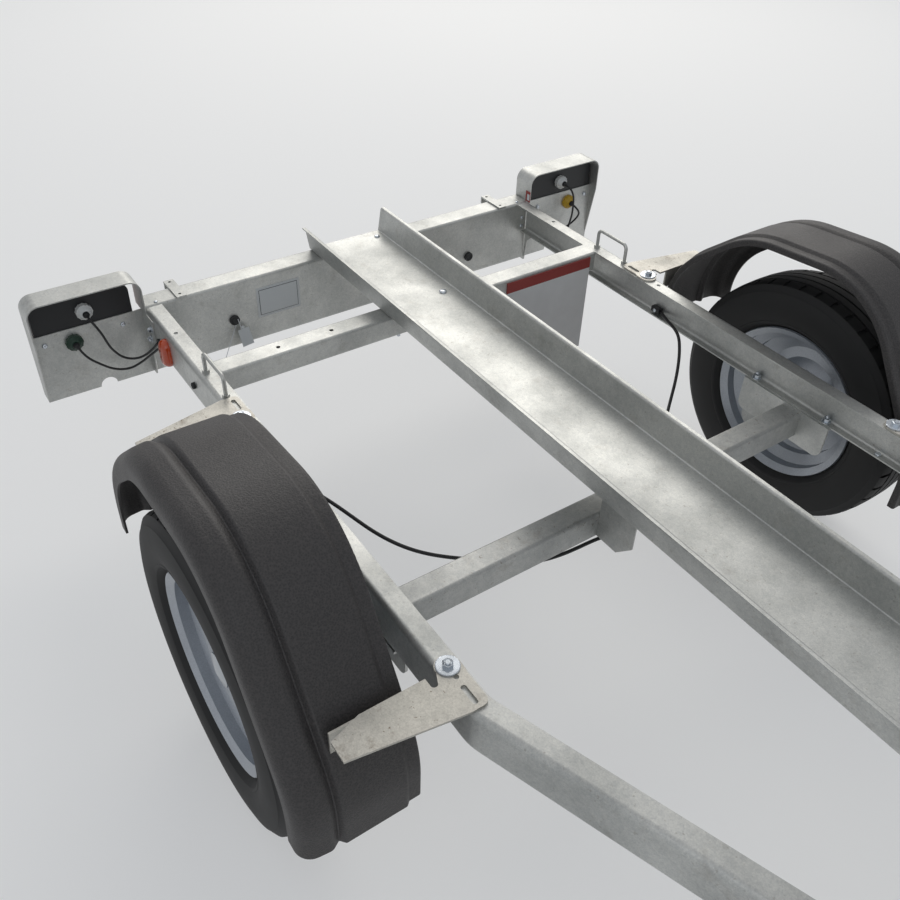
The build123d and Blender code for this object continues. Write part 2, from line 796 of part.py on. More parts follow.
# Straps over the rear beam's top flange
strap_y = rail_y - strap_inset
strap_rear_x = rear_x - rear_overhang
with BuildPart() as rear_strap:
    with BuildSketch(Plane.XZ.offset(-strap_y - strap_width / 2)):
        with BuildLine():
            Polyline(
                (strap_rear_x, rail_top_z - 14),
                (strap_rear_x, rail_top_z + strap_sheet),
                (rear_x + 2, rail_top_z + strap_sheet),
                (rear_x + 2, rail_top_z),
                (strap_rear_x + strap_sheet, rail_top_z),
                (strap_rear_x + strap_sheet, rail_top_z - 14),
                close=True,
            )
        make_face()
    extrude(amount=strap_width)
    with Locations(
        (rear_x - 10, strap_y, rail_top_z + strap_sheet),
        (strap_rear_x + 10, strap_y, rail_top_z + strap_sheet),
    ):
        Hole(strap_hole_radius, 2 * strap_sheet)
    mirror(about=Plane.XZ)
keep(rear_strap, "rear_strap")

# Drawbar plates tie the rail tips together, under and over the flanges
def drawbar_outline(rear, front, inset):
    """Trapezium that follows the converging rails."""
    rear_y = tip_half_width + rear * tan(radians(drawbar_angle)) - inset
    front_y = tip_half_width + front * tan(radians(drawbar_angle)) - inset
    return (
        (tip_x - rear, rear_y),
        (tip_x - front, front_y),
        (tip_x - front, -front_y),
        (tip_x - rear, -rear_y),
    )


tube_bore = jockey_outer / 2 + running_gap
with BuildPart() as drawbar_plate:
    with BuildSketch(Plane.XY.offset(rail_bottom_z)):
        with BuildLine():
            Polyline(*drawbar_outline(jockey_setback + 45, 6, 4), close=True)
        make_face()
        with Locations((jockey_x, 0)):
            Circle(tube_bore, mode=Mode.SUBTRACT)
    extrude(amount=-plate_sheet)
keep(drawbar_plate, "drawbar_plate")

with BuildPart() as drawbar_gusset:
    with BuildSketch(Plane.XY.offset(rail_top_z)):
        with BuildLine():
            Polyline(*drawbar_outline(jockey_setback + 45, jockey_setback - 80, 4), close=True)
        make_face()
        with Locations((jockey_x, 0)):
            Circle(tube_bore, mode=Mode.SUBTRACT)
    extrude(amount=4)
keep(drawbar_gusset, "drawbar_gusset")

# Coupling: pressed shank between the rails and a domed socket for the ball
shank_height = 44.0
shank_width = 60.0
ball_x = tip_x + ball_reach
ball_z = rail_bottom_z + 22
head_radius = socket_radius + socket_wall
with BuildPart() as coupling:
    with BuildSketch(Plane.XZ):
        with BuildLine():
            Polyline(
                (tip_x - 170, rail_bottom_z),
                (tip_x + 30, rail_bottom_z),
                (ball_x, ball_z - 16),
                (ball_x, ball_z + head_radius),
                (ball_x - 20, ball_z + head_radius),
                (tip_x + 20, rail_bottom_z + shank_height),
                (tip_x - 150, rail_bottom_z + shank_height),
                (tip_x - 170, rail_bottom_z + shank_height - 20),
                close=True,
            )
        make_face()
    extrude(amount=shank_width / 2, both=True)
    with BuildSketch(Plane.XZ):
        with BuildLine():
            Polyline(
                (tip_x - 175, rail_bottom_z - 1),
                (ball_x - head_radius - 4, rail_bottom_z - 1),
                (ball_x - head_radius - 4, ball_z + 14),
                (tip_x + 24, rail_bottom_z + shank_height - 5),
                (tip_x - 175, rail_bottom_z + shank_height - 5),
                close=True,
            )
        make_face()
    extrude(amount=shank_width / 2 - 5, both=True, mode=Mode.SUBTRACT)
    with BuildSketch(Plane.XY.offset(ball_z - 16)):
        with Locations((ball_x, 0)):
            Circle(head_radius + 4)
    extrude(amount=16)
    with Locations((ball_x, 0, ball_z)):
        Sphere(head_radius + 4)
    with BuildSketch(Plane.XY.offset(ball_z - 60)):
        with Locations((ball_x, 0)):
            Circle(60)
    extrude(amount=44, mode=Mode.SUBTRACT)
    with BuildSketch(Plane.XZ):
        with BuildLine():
            Polyline(
                (ball_x, ball_z - 16),
                (tip_x + nose_reach, ball_z - 16),
                (tip_x + nose_reach, ball_z - 4),
                (ball_x + 22, ball_z + 14),
                (ball_x, ball_z + 14),
                close=True,
            )
        make_face()
    extrude(amount=14, both=True)
    with Locations((ball_x, 0, ball_z)):
        Sphere(socket_radius, mode=Mode.SUBTRACT)
    with BuildSketch(Plane.XY.offset(ball_z - 30)):
        with Locations((ball_x, 0)):
            Circle(socket_radius)
    extrude(amount=30, mode=Mode.SUBTRACT)
    for side in (1, -1):
        with Locations((tip_x + 40, side * 12.5, ball_z + head_radius + 7)):
            Box(30, 5, 30)
    with Locations(
        Plane(origin=(tip_x + 40, 0, ball_z + head_radius + 14), z_dir=(0, 1, 0))
    ):
        Hole(4.3)
keep(coupling, "coupling")

# Coupling lever turns on a cross pin in the two ears
lever_x = tip_x + 40
lever_z = ball_z + head_radius + 14
with BuildPart() as coupling_lever:
    with BuildSketch(Plane.XZ.offset(-9)):
        with BuildLine():
            FilletPolyline(
                (lever_x + 11, lever_z - 9),
                (lever_x + 11, lever_z + 9),
                (lever_x - 40, lever_z + 22),
                (lever_x - 165, lever_z + 34),
                (lever_x - 168, lever_z + 22),
                (lever_x - 60, lever_z + 8),
                (lever_x - 11, lever_z - 9),
                radius=4,
                close=True,
            )
        make_face()
    extrude(amount=18)
    with Locations(Plane(origin=(lever_x, 0, lever_z), z_dir=(0, 1, 0))):
        Cylinder(4, 36)
keep(coupling_lever, "coupling_lever")

# Jockey wheel: clamped outer tube, sliding leg, swivelling fork, wheel, crank
with BuildPart() as jockey_tube:
    with BuildSketch(Plane.XY.offset(jockey_tube_bottom)):
        with Locations((jockey_x, 0)):
            Circle(jockey_outer / 2)
            Circle(jockey_inner / 2 + running_gap, mode=Mode.SUBTRACT)
    extrude(amount=jockey_tube_top - jockey_tube_bottom)
    with BuildSketch(Plane.XY.offset(jockey_tube_top)):
        with Locations((jockey_x, 0)):
            Circle(jockey_outer / 2 + 3)
            Circle(8 + running_gap, mode=Mode.SUBTRACT)
    extrude(amount=8)
    with BuildSketch(Plane.XY.offset(rail_top_z + 4)):
        with Locations((jockey_x, 0)):
            Circle(jockey_outer / 2 + 9)
            Circle(jockey_outer / 2, mode=Mode.SUBTRACT)
        with Locations((jockey_x + jockey_outer / 2 + 14, 0)):
            Rectangle(24, 16)
        with Locations((jockey_x, 0)):
            Circle(jockey_outer / 2, mode=Mode.SUBTRACT)
    extrude(amount=38)
keep(jockey_tube, "jockey_tube")

leg_length = jockey_tube_top - fork_top - 180
with BuildPart() as jockey_leg:
    with BuildSketch(Plane.XY.offset(fork_top + 8)):
        with Locations((jockey_x, 0)):
            Circle(jockey_inner / 2)
    extrude(amount=leg_length)
    with BuildSketch(Plane.XY.offset(fork_top + 14)):
        with Locations((jockey_x, 0)):
            Circle(jockey_inner / 2 - 3)
    extrude(amount=leg_length - 6 - 10, mode=Mode.SUBTRACT)
    with BuildSketch(Plane.XY.offset(fork_top + 8)):
        with Locations((jockey_x, 0)):
            Circle(8 + running_gap)
    extrude(amount=leg_length, mode=Mode.SUBTRACT)
    with BuildSketch(Plane.XY.offset(fork_top + 8)):
        with Locations((jockey_x, 0)):
            Circle(jockey_inner / 2 + 4)
            Circle(jockey_inner / 2 - 1, mode=Mode.SUBTRACT)
    extrude(amount=6)
keep(jockey_leg, "jockey_leg")

fork_gap = jockey_wheel_width / 2 + 4
fork_axle_x = jockey_x - jockey_trail
with BuildPart() as jockey_fork:
    with Locations((jockey_x - 6, 0, fork_top - fork_sheet / 2)):
        Box(56, 2 * (fork_gap + fork_sheet), fork_sheet)
    with BuildSketch(Plane.XZ.offset(-fork_gap - fork_sheet)):
        with BuildLine():
            Polyline(
                (jockey_x + 22, fork_top),
                (jockey_x + 22, fork_top - 20),
                (fork_axle_x + 16, jockey_wheel_radius - 8),
                (fork_axle_x, jockey_wheel_radius - 16),
                (fork_axle_x - 16, jockey_wheel_radius - 8),
                (fork_axle_x - 16, jockey_wheel_radius + 12),
                (jockey_x - 34, fork_top),
                close=True,
            )
        make_face()
    extrude(amount=fork_sheet)
    mirror(about=Plane.XZ)
    with BuildSketch(Plane.XY.offset(fork_top)):
        with Locations((jockey_x, 0)):
            Circle(jockey_inner / 2)
    extrude(amount=8 - running_gap)
    with BuildSketch(Plane.XY.offset(fork_top)):
        with Locations((jockey_x, 0)):
            Circle(8)
    extrude(amount=22)
    with BuildSketch(Plane.XY.offset(fork_top + 14 + running_gap)):
        with Locations((jockey_x, 0)):
            Circle(13)
    extrude(amount=8)
    with Locations(
        Plane(origin=(fork_axle_x, 0, jockey_wheel_radius), z_dir=(0, 1, 0))
    ):
        Cylinder(6, 2 * (fork_gap + fork_sheet) + 12)
keep(jockey_fork, "jockey_fork")

with BuildPart() as jockey_wheel:
    with BuildSketch(Plane.XZ.offset(-jockey_wheel_width / 2)):
        with Locations((fork_axle_x, jockey_wheel_radius)):
            Circle(jockey_wheel_radius)
            Circle(6.05, mode=Mode.SUBTRACT)
    extrude(amount=jockey_wheel_width)
    fillet(
        jockey_wheel.edges().filter_by(GeomType.CIRCLE).sort_by(SortBy.RADIUS)[-2:], 12
    )
    for side in (1, -1):
        with BuildSketch(Plane.XZ.offset(-side * jockey_wheel_width / 2)):
            with Locations((fork_axle_x, jockey_wheel_radius)):
                Circle(68)
                Circle(22, mode=Mode.SUBTRACT)
        extrude(amount=side * 12, mode=Mode.SUBTRACT)
keep(jockey_wheel, "jockey_wheel")

crank_z = jockey_tube_top + 8 + running_gap
with BuildPart() as jockey_crank:
    with BuildSketch(Plane.XY.offset(crank_z - spindle_length)):
        with Locations((jockey_x, 0)):
            Circle(8)
    extrude(amount=spindle_length)
    with BuildSketch(Plane.XY.offset(crank_z)):
        with Locations((jockey_x + crank_reach / 2, 0)):
            SlotOverall(crank_reach + 28, 28)
    extrude(amount=6)
    with BuildSketch(Plane.XY.offset(crank_z + 6)):
        with Locations((jockey_x + crank_reach, 0)):
            Circle(12)
    extrude(amount=crank_grip)
    fillet(jockey_crank.faces().sort_by(Axis.Z)[-1].edges(), 4)
keep(jockey_crank, "jockey_crank")

# Sign board: blank board hung on the second beam's front face
sign_x = rear_x + second_beam_centre + second_beam_width / 2
sign_width = 250.0
sign_height = 252.0
with BuildPart() as sign_board:
    with Locations((sign_x + 1.5, rail_y - 53 - sign_width / 2, rail_top_z - 8 - sign_height / 2)):
        Box(3, sign_width, sign_height)
keep(sign_board, "sign_board")

# Grommets in the rails' outer faces, where the lamp cables go in
grommet_z = rail_top_z - cable_hole_drop
grommet_thickness = 5.0
with BuildPart() as cable_grommet:
    with BuildSketch(Plane.XZ.offset(-rail_y)):
        with Locations((rear_x + cable_hole_x, grommet_z)):
            SlotOverall(30, 14, rotation=90)
    extrude(amount=-grommet_thickness)
    mirror(about=Plane.XZ)
keep(cable_grommet, "cable_grommet")

# Clips on the rails' inner faces, where the frame cables come out
clip_y = rail_y - sheet
clip_size = 14.0
with BuildPart() as cable_clip:
    with Locations((rear_x + clip_x, clip_y - clip_size / 2, rail_top_z - clip_drop)):
        Box(clip_length, clip_size, clip_size)
    fillet(cable_clip.edges().filter_by(Axis.X), 3)
    mirror(about=Plane.XZ)
keep(cable_clip, "cable_clip")

# Glands under the channel support, where the frame cables go in
gland_length = 12.0
with BuildPart() as cable_gland:
    with BuildSketch(Plane.XY.offset(rail_top_z - sheet)):
        with Locations((rear_x + gland_x, gland_y), (rear_x + gland_x, -gland_y)):
            Circle(frame_cable / 2 + 4)
    extrude(amount=-gland_length)
keep(cable_gland, "cable_gland")


def cable(label, points, diameter):
    """A cable through its route's points, with the largest arcs that fit."""
    steps = [Vector(*b) - Vector(*a) for a, b in zip(points, points[1:])]
    radii = [
        0.45 * min(a.length, b.length) / tan(radians(a.get_angle(b)) / 2)
        for a, b in zip(steps, steps[1:])
    ]
    with BuildPart() as tube:
        with BuildLine() as route:
            FilletPolyline(*points, radius=radii)
        with BuildSketch(Plane(origin=points[0], z_dir=steps[0])):
            Circle(diameter / 2)
        sweep(path=route.line)
    keep(tube, label)
    print(
        label,
        "length", round(route.wire().length, 1),
        "runs", [round(step.length, 1) for step in steps],
        "radii", [round(radius, 1) for radius in radii],
    )


def place(side, points):
    """Route points in the trailer's frame: X from the rear beam, Z from the rail's top."""
    return [(rear_x + x, side * y, rail_top_z + z) for x, y, z in points]


# Routes of the cables, each from its first fitting to its last.
# Columns: name, side (1 left, -1 right), diameter, first point, points between, last point
socket_end = socket_front - rear_x
upper_start = (socket_end, upper_socket_y + rail_y, upper_socket_rise)
lower_start = (socket_end, lower_socket_y + rail_y, -lower_socket_drop)
upper_entry = (cable_hole_x, rail_y + grommet_thickness, 7 - cable_hole_drop)
lower_entry = (cable_hole_x, rail_y + grommet_thickness, -7 - cable_hole_drop)
clip_end = (clip_x + clip_length / 2, clip_y - clip_size / 2, -clip_drop)
gland_end = (gland_x, gland_y, -sheet - gland_length)
cables = [
    ("upper_lamp_cable_right", -1, lamp_cable, upper_start, (
        (25, 638, 17), (31, 630, -0), (29, 623, -19), (26, 618, -38), (23, 612, -57),
        (19, 603, -75), (16, 592, -91), (15, 576, -103), (22, 558, -103), (34, 545, -92),
        (46, 538, -79), (59, 531, -64),
    ), upper_entry),
    ("lower_lamp_cable_right", -1, lamp_cable, lower_start, (
        (22, 669, -53), (24, 658, -70), (21, 645, -85), (18, 631, -100), (15, 616, -114),
        (13, 598, -124), (14, 578, -127), (21, 562, -118), (32, 550, -105), (44, 541, -91),
        (58, 533, -77),
    ), lower_entry),
    ("upper_lamp_cable_left", 1, lamp_cable, upper_start, (
        (26, 644, 17), (31, 652, -2), (30, 656, -22), (27, 659, -43), (25, 660, -63),
        (23, 657, -84), (25, 649, -103), (29, 633, -116), (34, 614, -121), (41, 594, -118),
        (48, 576, -110), (54, 561, -98), (61, 547, -83), (66, 535, -67),
    ), upper_entry),
    ("lower_lamp_cable_left", 1, lamp_cable, lower_start, (
        (22, 679, -50), (23, 689, -65), (15, 689, -82), (9, 678, -96), (6, 662, -106),
        (6, 644, -111), (9, 625, -113), (14, 607, -113), (21, 590, -110), (30, 574, -104),
        (39, 559, -96), (49, 546, -86), (60, 535, -75),
    ), lower_entry),
    ("frame_cable_left", 1, frame_cable, clip_end, (
        (558, 498, -68), (591, 485, -64), (623, 471, -66), (646, 456, -89), (663, 441, -117),
        (680, 421, -141), (699, 395, -158), (719, 368, -170), (740, 341, -178), (763, 314, -183),
        (787, 288, -186), (812, 261, -186), (837, 235, -184), (861, 210, -181), (885, 184, -177),
        (910, 157, -174), (932, 129, -170), (953, 100, -168), (971, 69, -164), (984, 39, -151),
        (990, 20, -122), (990, 14, -87), (991, 14, -51),
    ), gland_end),
    ("frame_cable_right", -1, frame_cable, clip_end, (
        (557, 498, -68), (591, 485, -65), (623, 468, -65), (652, 450, -75), (679, 431, -90),
        (707, 414, -105), (738, 399, -116), (768, 382, -125), (793, 359, -137), (813, 332, -149),
        (832, 302, -158), (850, 272, -164), (870, 243, -167), (893, 214, -167), (915, 186, -165),
        (933, 156, -161), (943, 121, -157), (946, 86, -156), (947, 50, -156), (958, 18, -147),
        (977, 5, -121), (987, 7, -87), (990, 11, -51),
    ), gland_end),
]
for name, side, diameter, start, between, end in cables:
    cable(name, place(side, (start, *between, end)), diameter)

for label, solid in nodes.items():
    export_step(solid, "parts/" + label + ".step")
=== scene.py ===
import json
import math

import bpy
from mathutils import Matrix, Vector


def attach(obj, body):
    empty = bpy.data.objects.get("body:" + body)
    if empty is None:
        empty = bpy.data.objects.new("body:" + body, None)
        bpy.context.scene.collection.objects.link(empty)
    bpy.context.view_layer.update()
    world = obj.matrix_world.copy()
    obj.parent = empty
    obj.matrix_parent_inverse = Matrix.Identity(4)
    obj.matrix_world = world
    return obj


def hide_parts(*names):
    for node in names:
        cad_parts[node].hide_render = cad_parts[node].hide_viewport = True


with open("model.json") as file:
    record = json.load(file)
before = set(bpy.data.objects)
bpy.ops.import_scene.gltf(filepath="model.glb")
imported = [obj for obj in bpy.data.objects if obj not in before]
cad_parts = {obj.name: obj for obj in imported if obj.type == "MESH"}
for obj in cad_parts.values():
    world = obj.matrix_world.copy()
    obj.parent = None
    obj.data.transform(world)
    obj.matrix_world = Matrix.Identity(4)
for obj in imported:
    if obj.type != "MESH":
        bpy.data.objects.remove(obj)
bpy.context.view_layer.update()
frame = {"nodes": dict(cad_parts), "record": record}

# Looks of a motorcycle trailer with one wheel channel. Places are given in
# millimetres from the rear beam's front face, the trailer's middle and the
# rails' top face, and spot() turns them into metres in the trailer's own frame.
REAR_FACE = -1.27132
RAIL_TOP = 0.471
# Each side's name and its sign across the trailer
SIDES = (("left", 1), ("right", -1))
# Middle of the jockey wheel's tube, from the rear beam
JOCKEY_X = 2202.64


def spot(x, y, z):
    """A place on the trailer, from millimetres to metres."""
    return Vector((REAR_FACE + x / 1000, y / 1000, RAIL_TOP + z / 1000))


# Camera: where the photograph was taken from, above the right front of the axle
YAW = math.radians(35.537)
PITCH = math.radians(39.481)
ROLL = math.radians(2.069)
CAMERA_PLACE = (1774.04, -970.38, 1041.11)
level = math.cos(PITCH)
look = Vector((-math.cos(YAW) * level, math.sin(YAW) * level, -math.sin(PITCH)))
level_right = look.cross(Vector((0, 0, 1))).normalized()
level_up = level_right.cross(look)
right = level_right * math.cos(ROLL) + level_up * math.sin(ROLL)
up = level_up * math.cos(ROLL) - level_right * math.sin(ROLL)
camera_data = bpy.data.cameras.new("camera")
camera_data.lens = 36.993
camera_data.sensor_width = 36
camera_data.clip_end = 200
camera = bpy.data.objects.new("camera", camera_data)
turn = Matrix((right, up, -look)).transposed().to_4x4()
camera.matrix_world = Matrix.Translation(spot(*CAMERA_PLACE)) @ turn
bpy.context.collection.objects.link(camera)
bpy.context.scene.camera = camera
bpy.context.scene.view_settings.view_transform = "Standard"


# Materials

def colour(code):
    """A six figure sRGB code as linear red, green, blue and one."""
    parts = [int(code[i:i + 2], 16) / 255 for i in (1, 3, 5)]
    return [c / 12.92 if c <= 0.04045 else ((c + 0.055) / 1.055) ** 2.4 for c in parts] + [1]


def node(material, kind, settings=(), **links):
    """Add one shader node. Settings are its own options. Links give its sockets, each by its
    name or as i and its number, a value or the socket that feeds it."""
    made = material.node_tree.nodes.new("ShaderNode" + kind)
    for key, value in dict(settings).items():
        setattr(made, key, value)
    for key, value in links.items():
        numbered = key[0] == "i" and key[1:].isdigit()
        socket = made.inputs[int(key[1:]) if numbered else key.replace("_", " ")]
        if isinstance(value, bpy.types.NodeSocket):
            material.node_tree.links.new(value, socket)
        else:
            socket.default_value = value
    return made


def new_material(name):
    """A material that is still empty, and the coordinates of its pieces."""
    material = bpy.data.materials.new(name)
    material.use_nodes = True
    material.node_tree.nodes.clear()
    place = node(material, "TexCoord").outputs["Object"]
    return material, place


def finish_material(material, **inputs):
    """Close a material with its surface shader and its output."""
    surface = node(material, "BsdfPrincipled", **inputs)
    node(material, "OutputMaterial", Surface=surface.outputs["BSDF"])
    return material


def between(material, factor, low, high):
    """A colour that runs from low to high with a factor from 0 to 1."""
    ramp = node(material, "ValToRGB", Fac=factor)
    ramp.color_ramp.elements[0].color = low
    ramp.color_ramp.elements[1].color = high
    return ramp.outputs["Color"]


def span(material, value, low, high, start=0.0, end=1.0):
    """A number that runs from low to high as value goes from start to end."""
    return node(
        material, "MapRange", Value=value, From_Min=start, From_Max=end, To_Min=low, To_Max=high
    ).outputs["Result"]


def galvanised(name, pale, dark, spangle, rough, soiled):
    """Hot dip galvanised steel. Zinc crystals, spangle millimetres across, differ faintly
    in tone under a fine gritty bloom. Dull clouds, brown smears and specks lie over it."""
    material, place = new_material(name)
    crystals = node(material, "TexVoronoi", Vector=place, Scale=1000 / spangle)
    flake = node(material, "SeparateColor", Color=crystals.outputs["Color"]).outputs["Red"]
    grit = node(material, "TexNoise", Vector=place, Scale=430.0, Detail=4.0, Roughness=0.7)
    bloom = span(material, grit.outputs["Fac"], 0.0, 1.0, 0.3, 0.7)
    grain = node(
        material, "Mix", {"data_type": "FLOAT"}, Factor=0.72, i2=flake, i3=bloom
    ).outputs[0]
    tone = between(material, grain, colour(dark), colour(pale))
    clouds = node(material, "TexNoise", Vector=place, Scale=7.0, Detail=6.0, Roughness=0.6)
    clouded = node(
        material, "Mix", {"data_type": "RGBA", "blend_type": "MULTIPLY"},
        Factor=span(material, clouds.outputs["Fac"], 0.0, 0.7, 0.4, 0.8),
        i6=tone, i7=colour("#BFC1C2"),
    ).outputs[2]
    smears = node(material, "TexNoise", Vector=place, Scale=17.0, Detail=9.0, Roughness=0.72)
    specks = node(material, "TexNoise", Vector=place, Scale=170.0, Detail=2.0)
    dirt = node(
        material, "Math", {"operation": "MAXIMUM"},
        i0=span(material, smears.outputs["Fac"], 0.0, soiled, 0.56, 0.74),
        i1=span(material, specks.outputs["Fac"], 0.0, soiled, 0.66, 0.74),
    ).outputs["Value"]
    soiled_tone = node(
        material, "Mix", {"data_type": "RGBA"}, Factor=dirt, i6=clouded, i7=colour("#6E6152")
    ).outputs[2]
    dull = span(material, clouds.outputs["Fac"], rough - 0.05, rough + 0.10, 0.3, 0.7)
    bump = node(material, "Bump", Strength=0.12, Distance=0.0004, Height=grit.outputs["Fac"])
    return finish_material(
        material, Base_Color=soiled_tone, Metallic=0.82, Roughness=dull,
        Normal=bump.outputs["Normal"],
    )


# Folded sheet of rails, beams, channel and hoods: fine spangle, satin
galvanised_sheet = galvanised("galvanised_sheet", "#D3D3CE", "#B1B3B2", 5.0, 0.44, 0.32)
# Axle tube and swing arms, dipped for longer: coarser and duller
galvanised_tube = galvanised("galvanised_tube", "#C6C6C2", "#A5A7A7", 8.0, 0.50, 0.50)
# Cut plates of the mudguard arms: handled, with beige stains
galvanised_plate = galvanised("galvanised_plate", "#D4D1C8", "#B1AEA7", 4.0, 0.50, 0.85)


def zinc_plated(name, code, rough):
    """Bright zinc plating: a fine even sheen, faintly clouded."""
    material, place = new_material(name)
    fine = node(material, "TexNoise", Vector=place, Scale=60.0, Detail=1.5)
    tone = between(material, fine.outputs["Fac"], colour("#A9AFB5"), colour(code))
    bump = node(material, "Bump", Strength=0.02, Distance=0.0001, Height=fine.outputs["Fac"])
    return finish_material(
        material, Base_Color=tone, Metallic=1.0, Normal=bump.outputs["Normal"],
        Roughness=span(material, fine.outputs["Fac"], rough - 0.04, rough + 0.06),
    )


# Coupling, jockey wheel's steel parts, hubs and the tag's wire: satin grey
zinc_steel = zinc_plated("zinc_plated_steel", "#C4C7CA", 0.32)
# Screws, nuts and domed heads: brighter and bluish
bolt_zinc = zinc_plated("blue_white_zinc", "#D3D9E0", 0.24)

# Moulded polypropylene: a leather like grain on black breaks up the light into fine specks
# and a soft grey sheen. The real grain is about 1.5 mm across and is drawn at 3 mm to show
material, place = new_material("moulded_polypropylene")
grain = node(material, "TexVoronoi", Vector=place, Scale=330.0)
pits = node(material, "TexNoise", Vector=place, Scale=520.0, Detail=3.0, Roughness=0.7)
wear = node(material, "TexNoise", Vector=place, Scale=14.0, Detail=5.0)
leather = node(
    material, "Mix", {"data_type": "FLOAT"}, Factor=0.5, i2=grain.outputs["Distance"],
    i3=pits.outputs["Fac"],
).outputs[0]
tone = between(
    material, span(material, leather, 0.0, 1.0, 0.25, 0.65), colour("#2B2A2A"), colour("#474341")
)
bump = node(material, "Bump", Strength=0.55, Distance=0.0012, Height=leather)
moulded_plastic = finish_material(
    material, Base_Color=tone, Roughness=span(material, wear.outputs["Fac"], 0.46, 0.60),
    Normal=bump.outputs["Normal"],
)


def smooth_plastic(name, code, rough, speckle=300.0):
    """Injection moulded plastic with a faint orange peel."""
    material, place = new_material(name)
    peel = node(material, "TexNoise", Vector=place, Scale=speckle, Detail=2.0)
    bump = node(material, "Bump", Strength=0.05, Distance=0.0003, Height=peel.outputs["Fac"])
    return finish_material(
        material, Base_Color=colour(code), Normal=bump.outputs["Normal"],
        Roughness=span(material, peel.outputs["Fac"], rough - 0.05, rough + 0.05),
    )


# Lamp housings, clips, boots, valves, rings and the crank's grip: near black, half gloss
black_abs = smooth_plastic("black_abs", "#1B1C1E", 0.42)
# Socket caps: small spots of colour
white_nylon = smooth_plastic("white_nylon", "#E4E2DC", 0.38)
green_nylon = smooth_plastic("dark_green_nylon", "#1F3B2C", 0.40)
yellow_nylon = smooth_plastic("yellow_nylon", "#C9A227", 0.40)
# Cables: black and soft, with a finer peel
cable_pvc = smooth_plastic("cable_pvc", "#141416", 0.50, 500.0)
# Label, tag and the reflector's white field: off white
label_vinyl = smooth_plastic("label_vinyl", "#DFE0DE", 0.45)

# Tyre rubber: dull carbon black with a dusty bloom in patches
material, place = new_material("tyre_rubber")
dust = node(material, "TexNoise", Vector=place, Scale=18.0, Detail=6.0, Roughness=0.65)
fine = node(material, "TexNoise", Vector=place, Scale=520.0, Detail=2.0)
tone = between(material, dust.outputs["Fac"], colour("#191919"), colour("#2B2A29"))
bump = node(material, "Bump", Strength=0.10, Distance=0.0005, Height=fine.outputs["Fac"])
tyre_rubber = finish_material(
    material, Base_Color=tone, Roughness=span(material, dust.outputs["Fac"], 0.62, 0.80),
    Normal=bump.outputs["Normal"],
)

# Solid rubber of the small wheel: grey, scuffed
material, place = new_material("grey_rubber")
scuff = node(material, "TexNoise", Vector=place, Scale=40.0, Detail=6.0)
tone = between(material, scuff.outputs["Fac"], colour("#2C2D2E"), colour("#48494A"))
bump = node(material, "Bump", Strength=0.12, Distance=0.0008, Height=scuff.outputs["Fac"])
grey_rubber = finish_material(
    material, Base_Color=tone, Roughness=0.7, Normal=bump.outputs["Normal"]
)

# Wheel enamel: silver paint with a fine flake
material, place = new_material("silver_enamel")
flake = node(material, "TexVoronoi", Vector=place, Scale=900.0)
flake_tone = node(material, "SeparateColor", Color=flake.outputs["Color"]).outputs["Red"]
dirt = node(material, "TexNoise", Vector=place, Scale=24.0, Detail=5.0)
tone = between(material, flake_tone, colour("#A9AEB5"), colour("#BDC2C8"))
dirty = node(
    material, "Mix", {"data_type": "RGBA"}, Factor=span(material, dirt.outputs["Fac"], 0.0, 0.35),
    i6=tone, i7=colour("#7E8084"),
).outputs[2]
silver_enamel = finish_material(
    material, Base_Color=dirty, Metallic=0.55, Roughness=0.36, Coat_Weight=0.25,
    Coat_Roughness=0.15,
)


def lens_plastic(name, code, deep, ribbed):
    """Clear coloured acrylic under a glossy face, with moulded ribs 4 mm apart if ribbed."""
    material, place = new_material(name)
    if ribbed:
        pattern = node(material, "TexWave", {"bands_direction": "Z"}, Vector=place, Scale=80.0)
    else:
        pattern = node(material, "TexNoise", Vector=place, Scale=60.0, Detail=2.0)
    tone = between(material, pattern.outputs["Fac"], colour(deep), colour(code))
    strength = 0.25 if ribbed else 0.02
    bump = node(
        material, "Bump", Strength=strength, Distance=0.001, Height=pattern.outputs["Fac"]
    )
    return finish_material(
        material, Base_Color=tone, Roughness=0.14, Normal=bump.outputs["Normal"], Coat_Weight=0.6,
        Coat_Roughness=0.05, Transmission_Weight=0.12,
    )


# Rear lenses and the red reflector, and the side markers: the trailer's strongest colours
red_acrylic = lens_plastic("red_acrylic", "#C0251C", "#7A120D", True)
amber_acrylic = lens_plastic("amber_acrylic", "#EE5A1C", "#C73A0C", False)

# Sign board: white baked paint, pale below, with a dark red band along its top edge
material, place = new_material("sign_paint")
height = node(material, "SeparateXYZ", Vector=place).outputs["Z"]
BAND_FOOT = RAIL_TOP - 0.034
in_band = node(
    material, "Math", {"operation": "GREATER_THAN"}, i0=height, i1=BAND_FOOT
).outputs["Value"]
worn = node(material, "TexNoise", Vector=place, Scale=30.0, Detail=5.0)
board = between(material, worn.outputs["Fac"], colour("#DEDAD6"), colour("#EDEAE6"))
tone = node(
    material, "Mix", {"data_type": "RGBA"}, Factor=in_band, i6=board, i7=colour("#9C3A34")
).outputs[2]
sign_paint = finish_material(
    material, Base_Color=tone, Roughness=span(material, worn.outputs["Fac"], 0.36, 0.5)
)

# Finishes of the trailer's parts, by their slots
FINISHES = {
    "galvanised_steel": galvanised_sheet,
    "axle_steel": galvanised_tube,
    "zinc_steel": zinc_steel,
    "wheel_steel": silver_enamel,
    "hub_steel": zinc_steel,
    "black_plastic": black_abs,
    "tyre": tyre_rubber,
    "grey_rubber": grey_rubber,
    "cable_rubber": cable_pvc,
    "lamp_lens": red_acrylic,
    "amber_lens": amber_acrylic,
    "sign_paint": sign_paint,
}
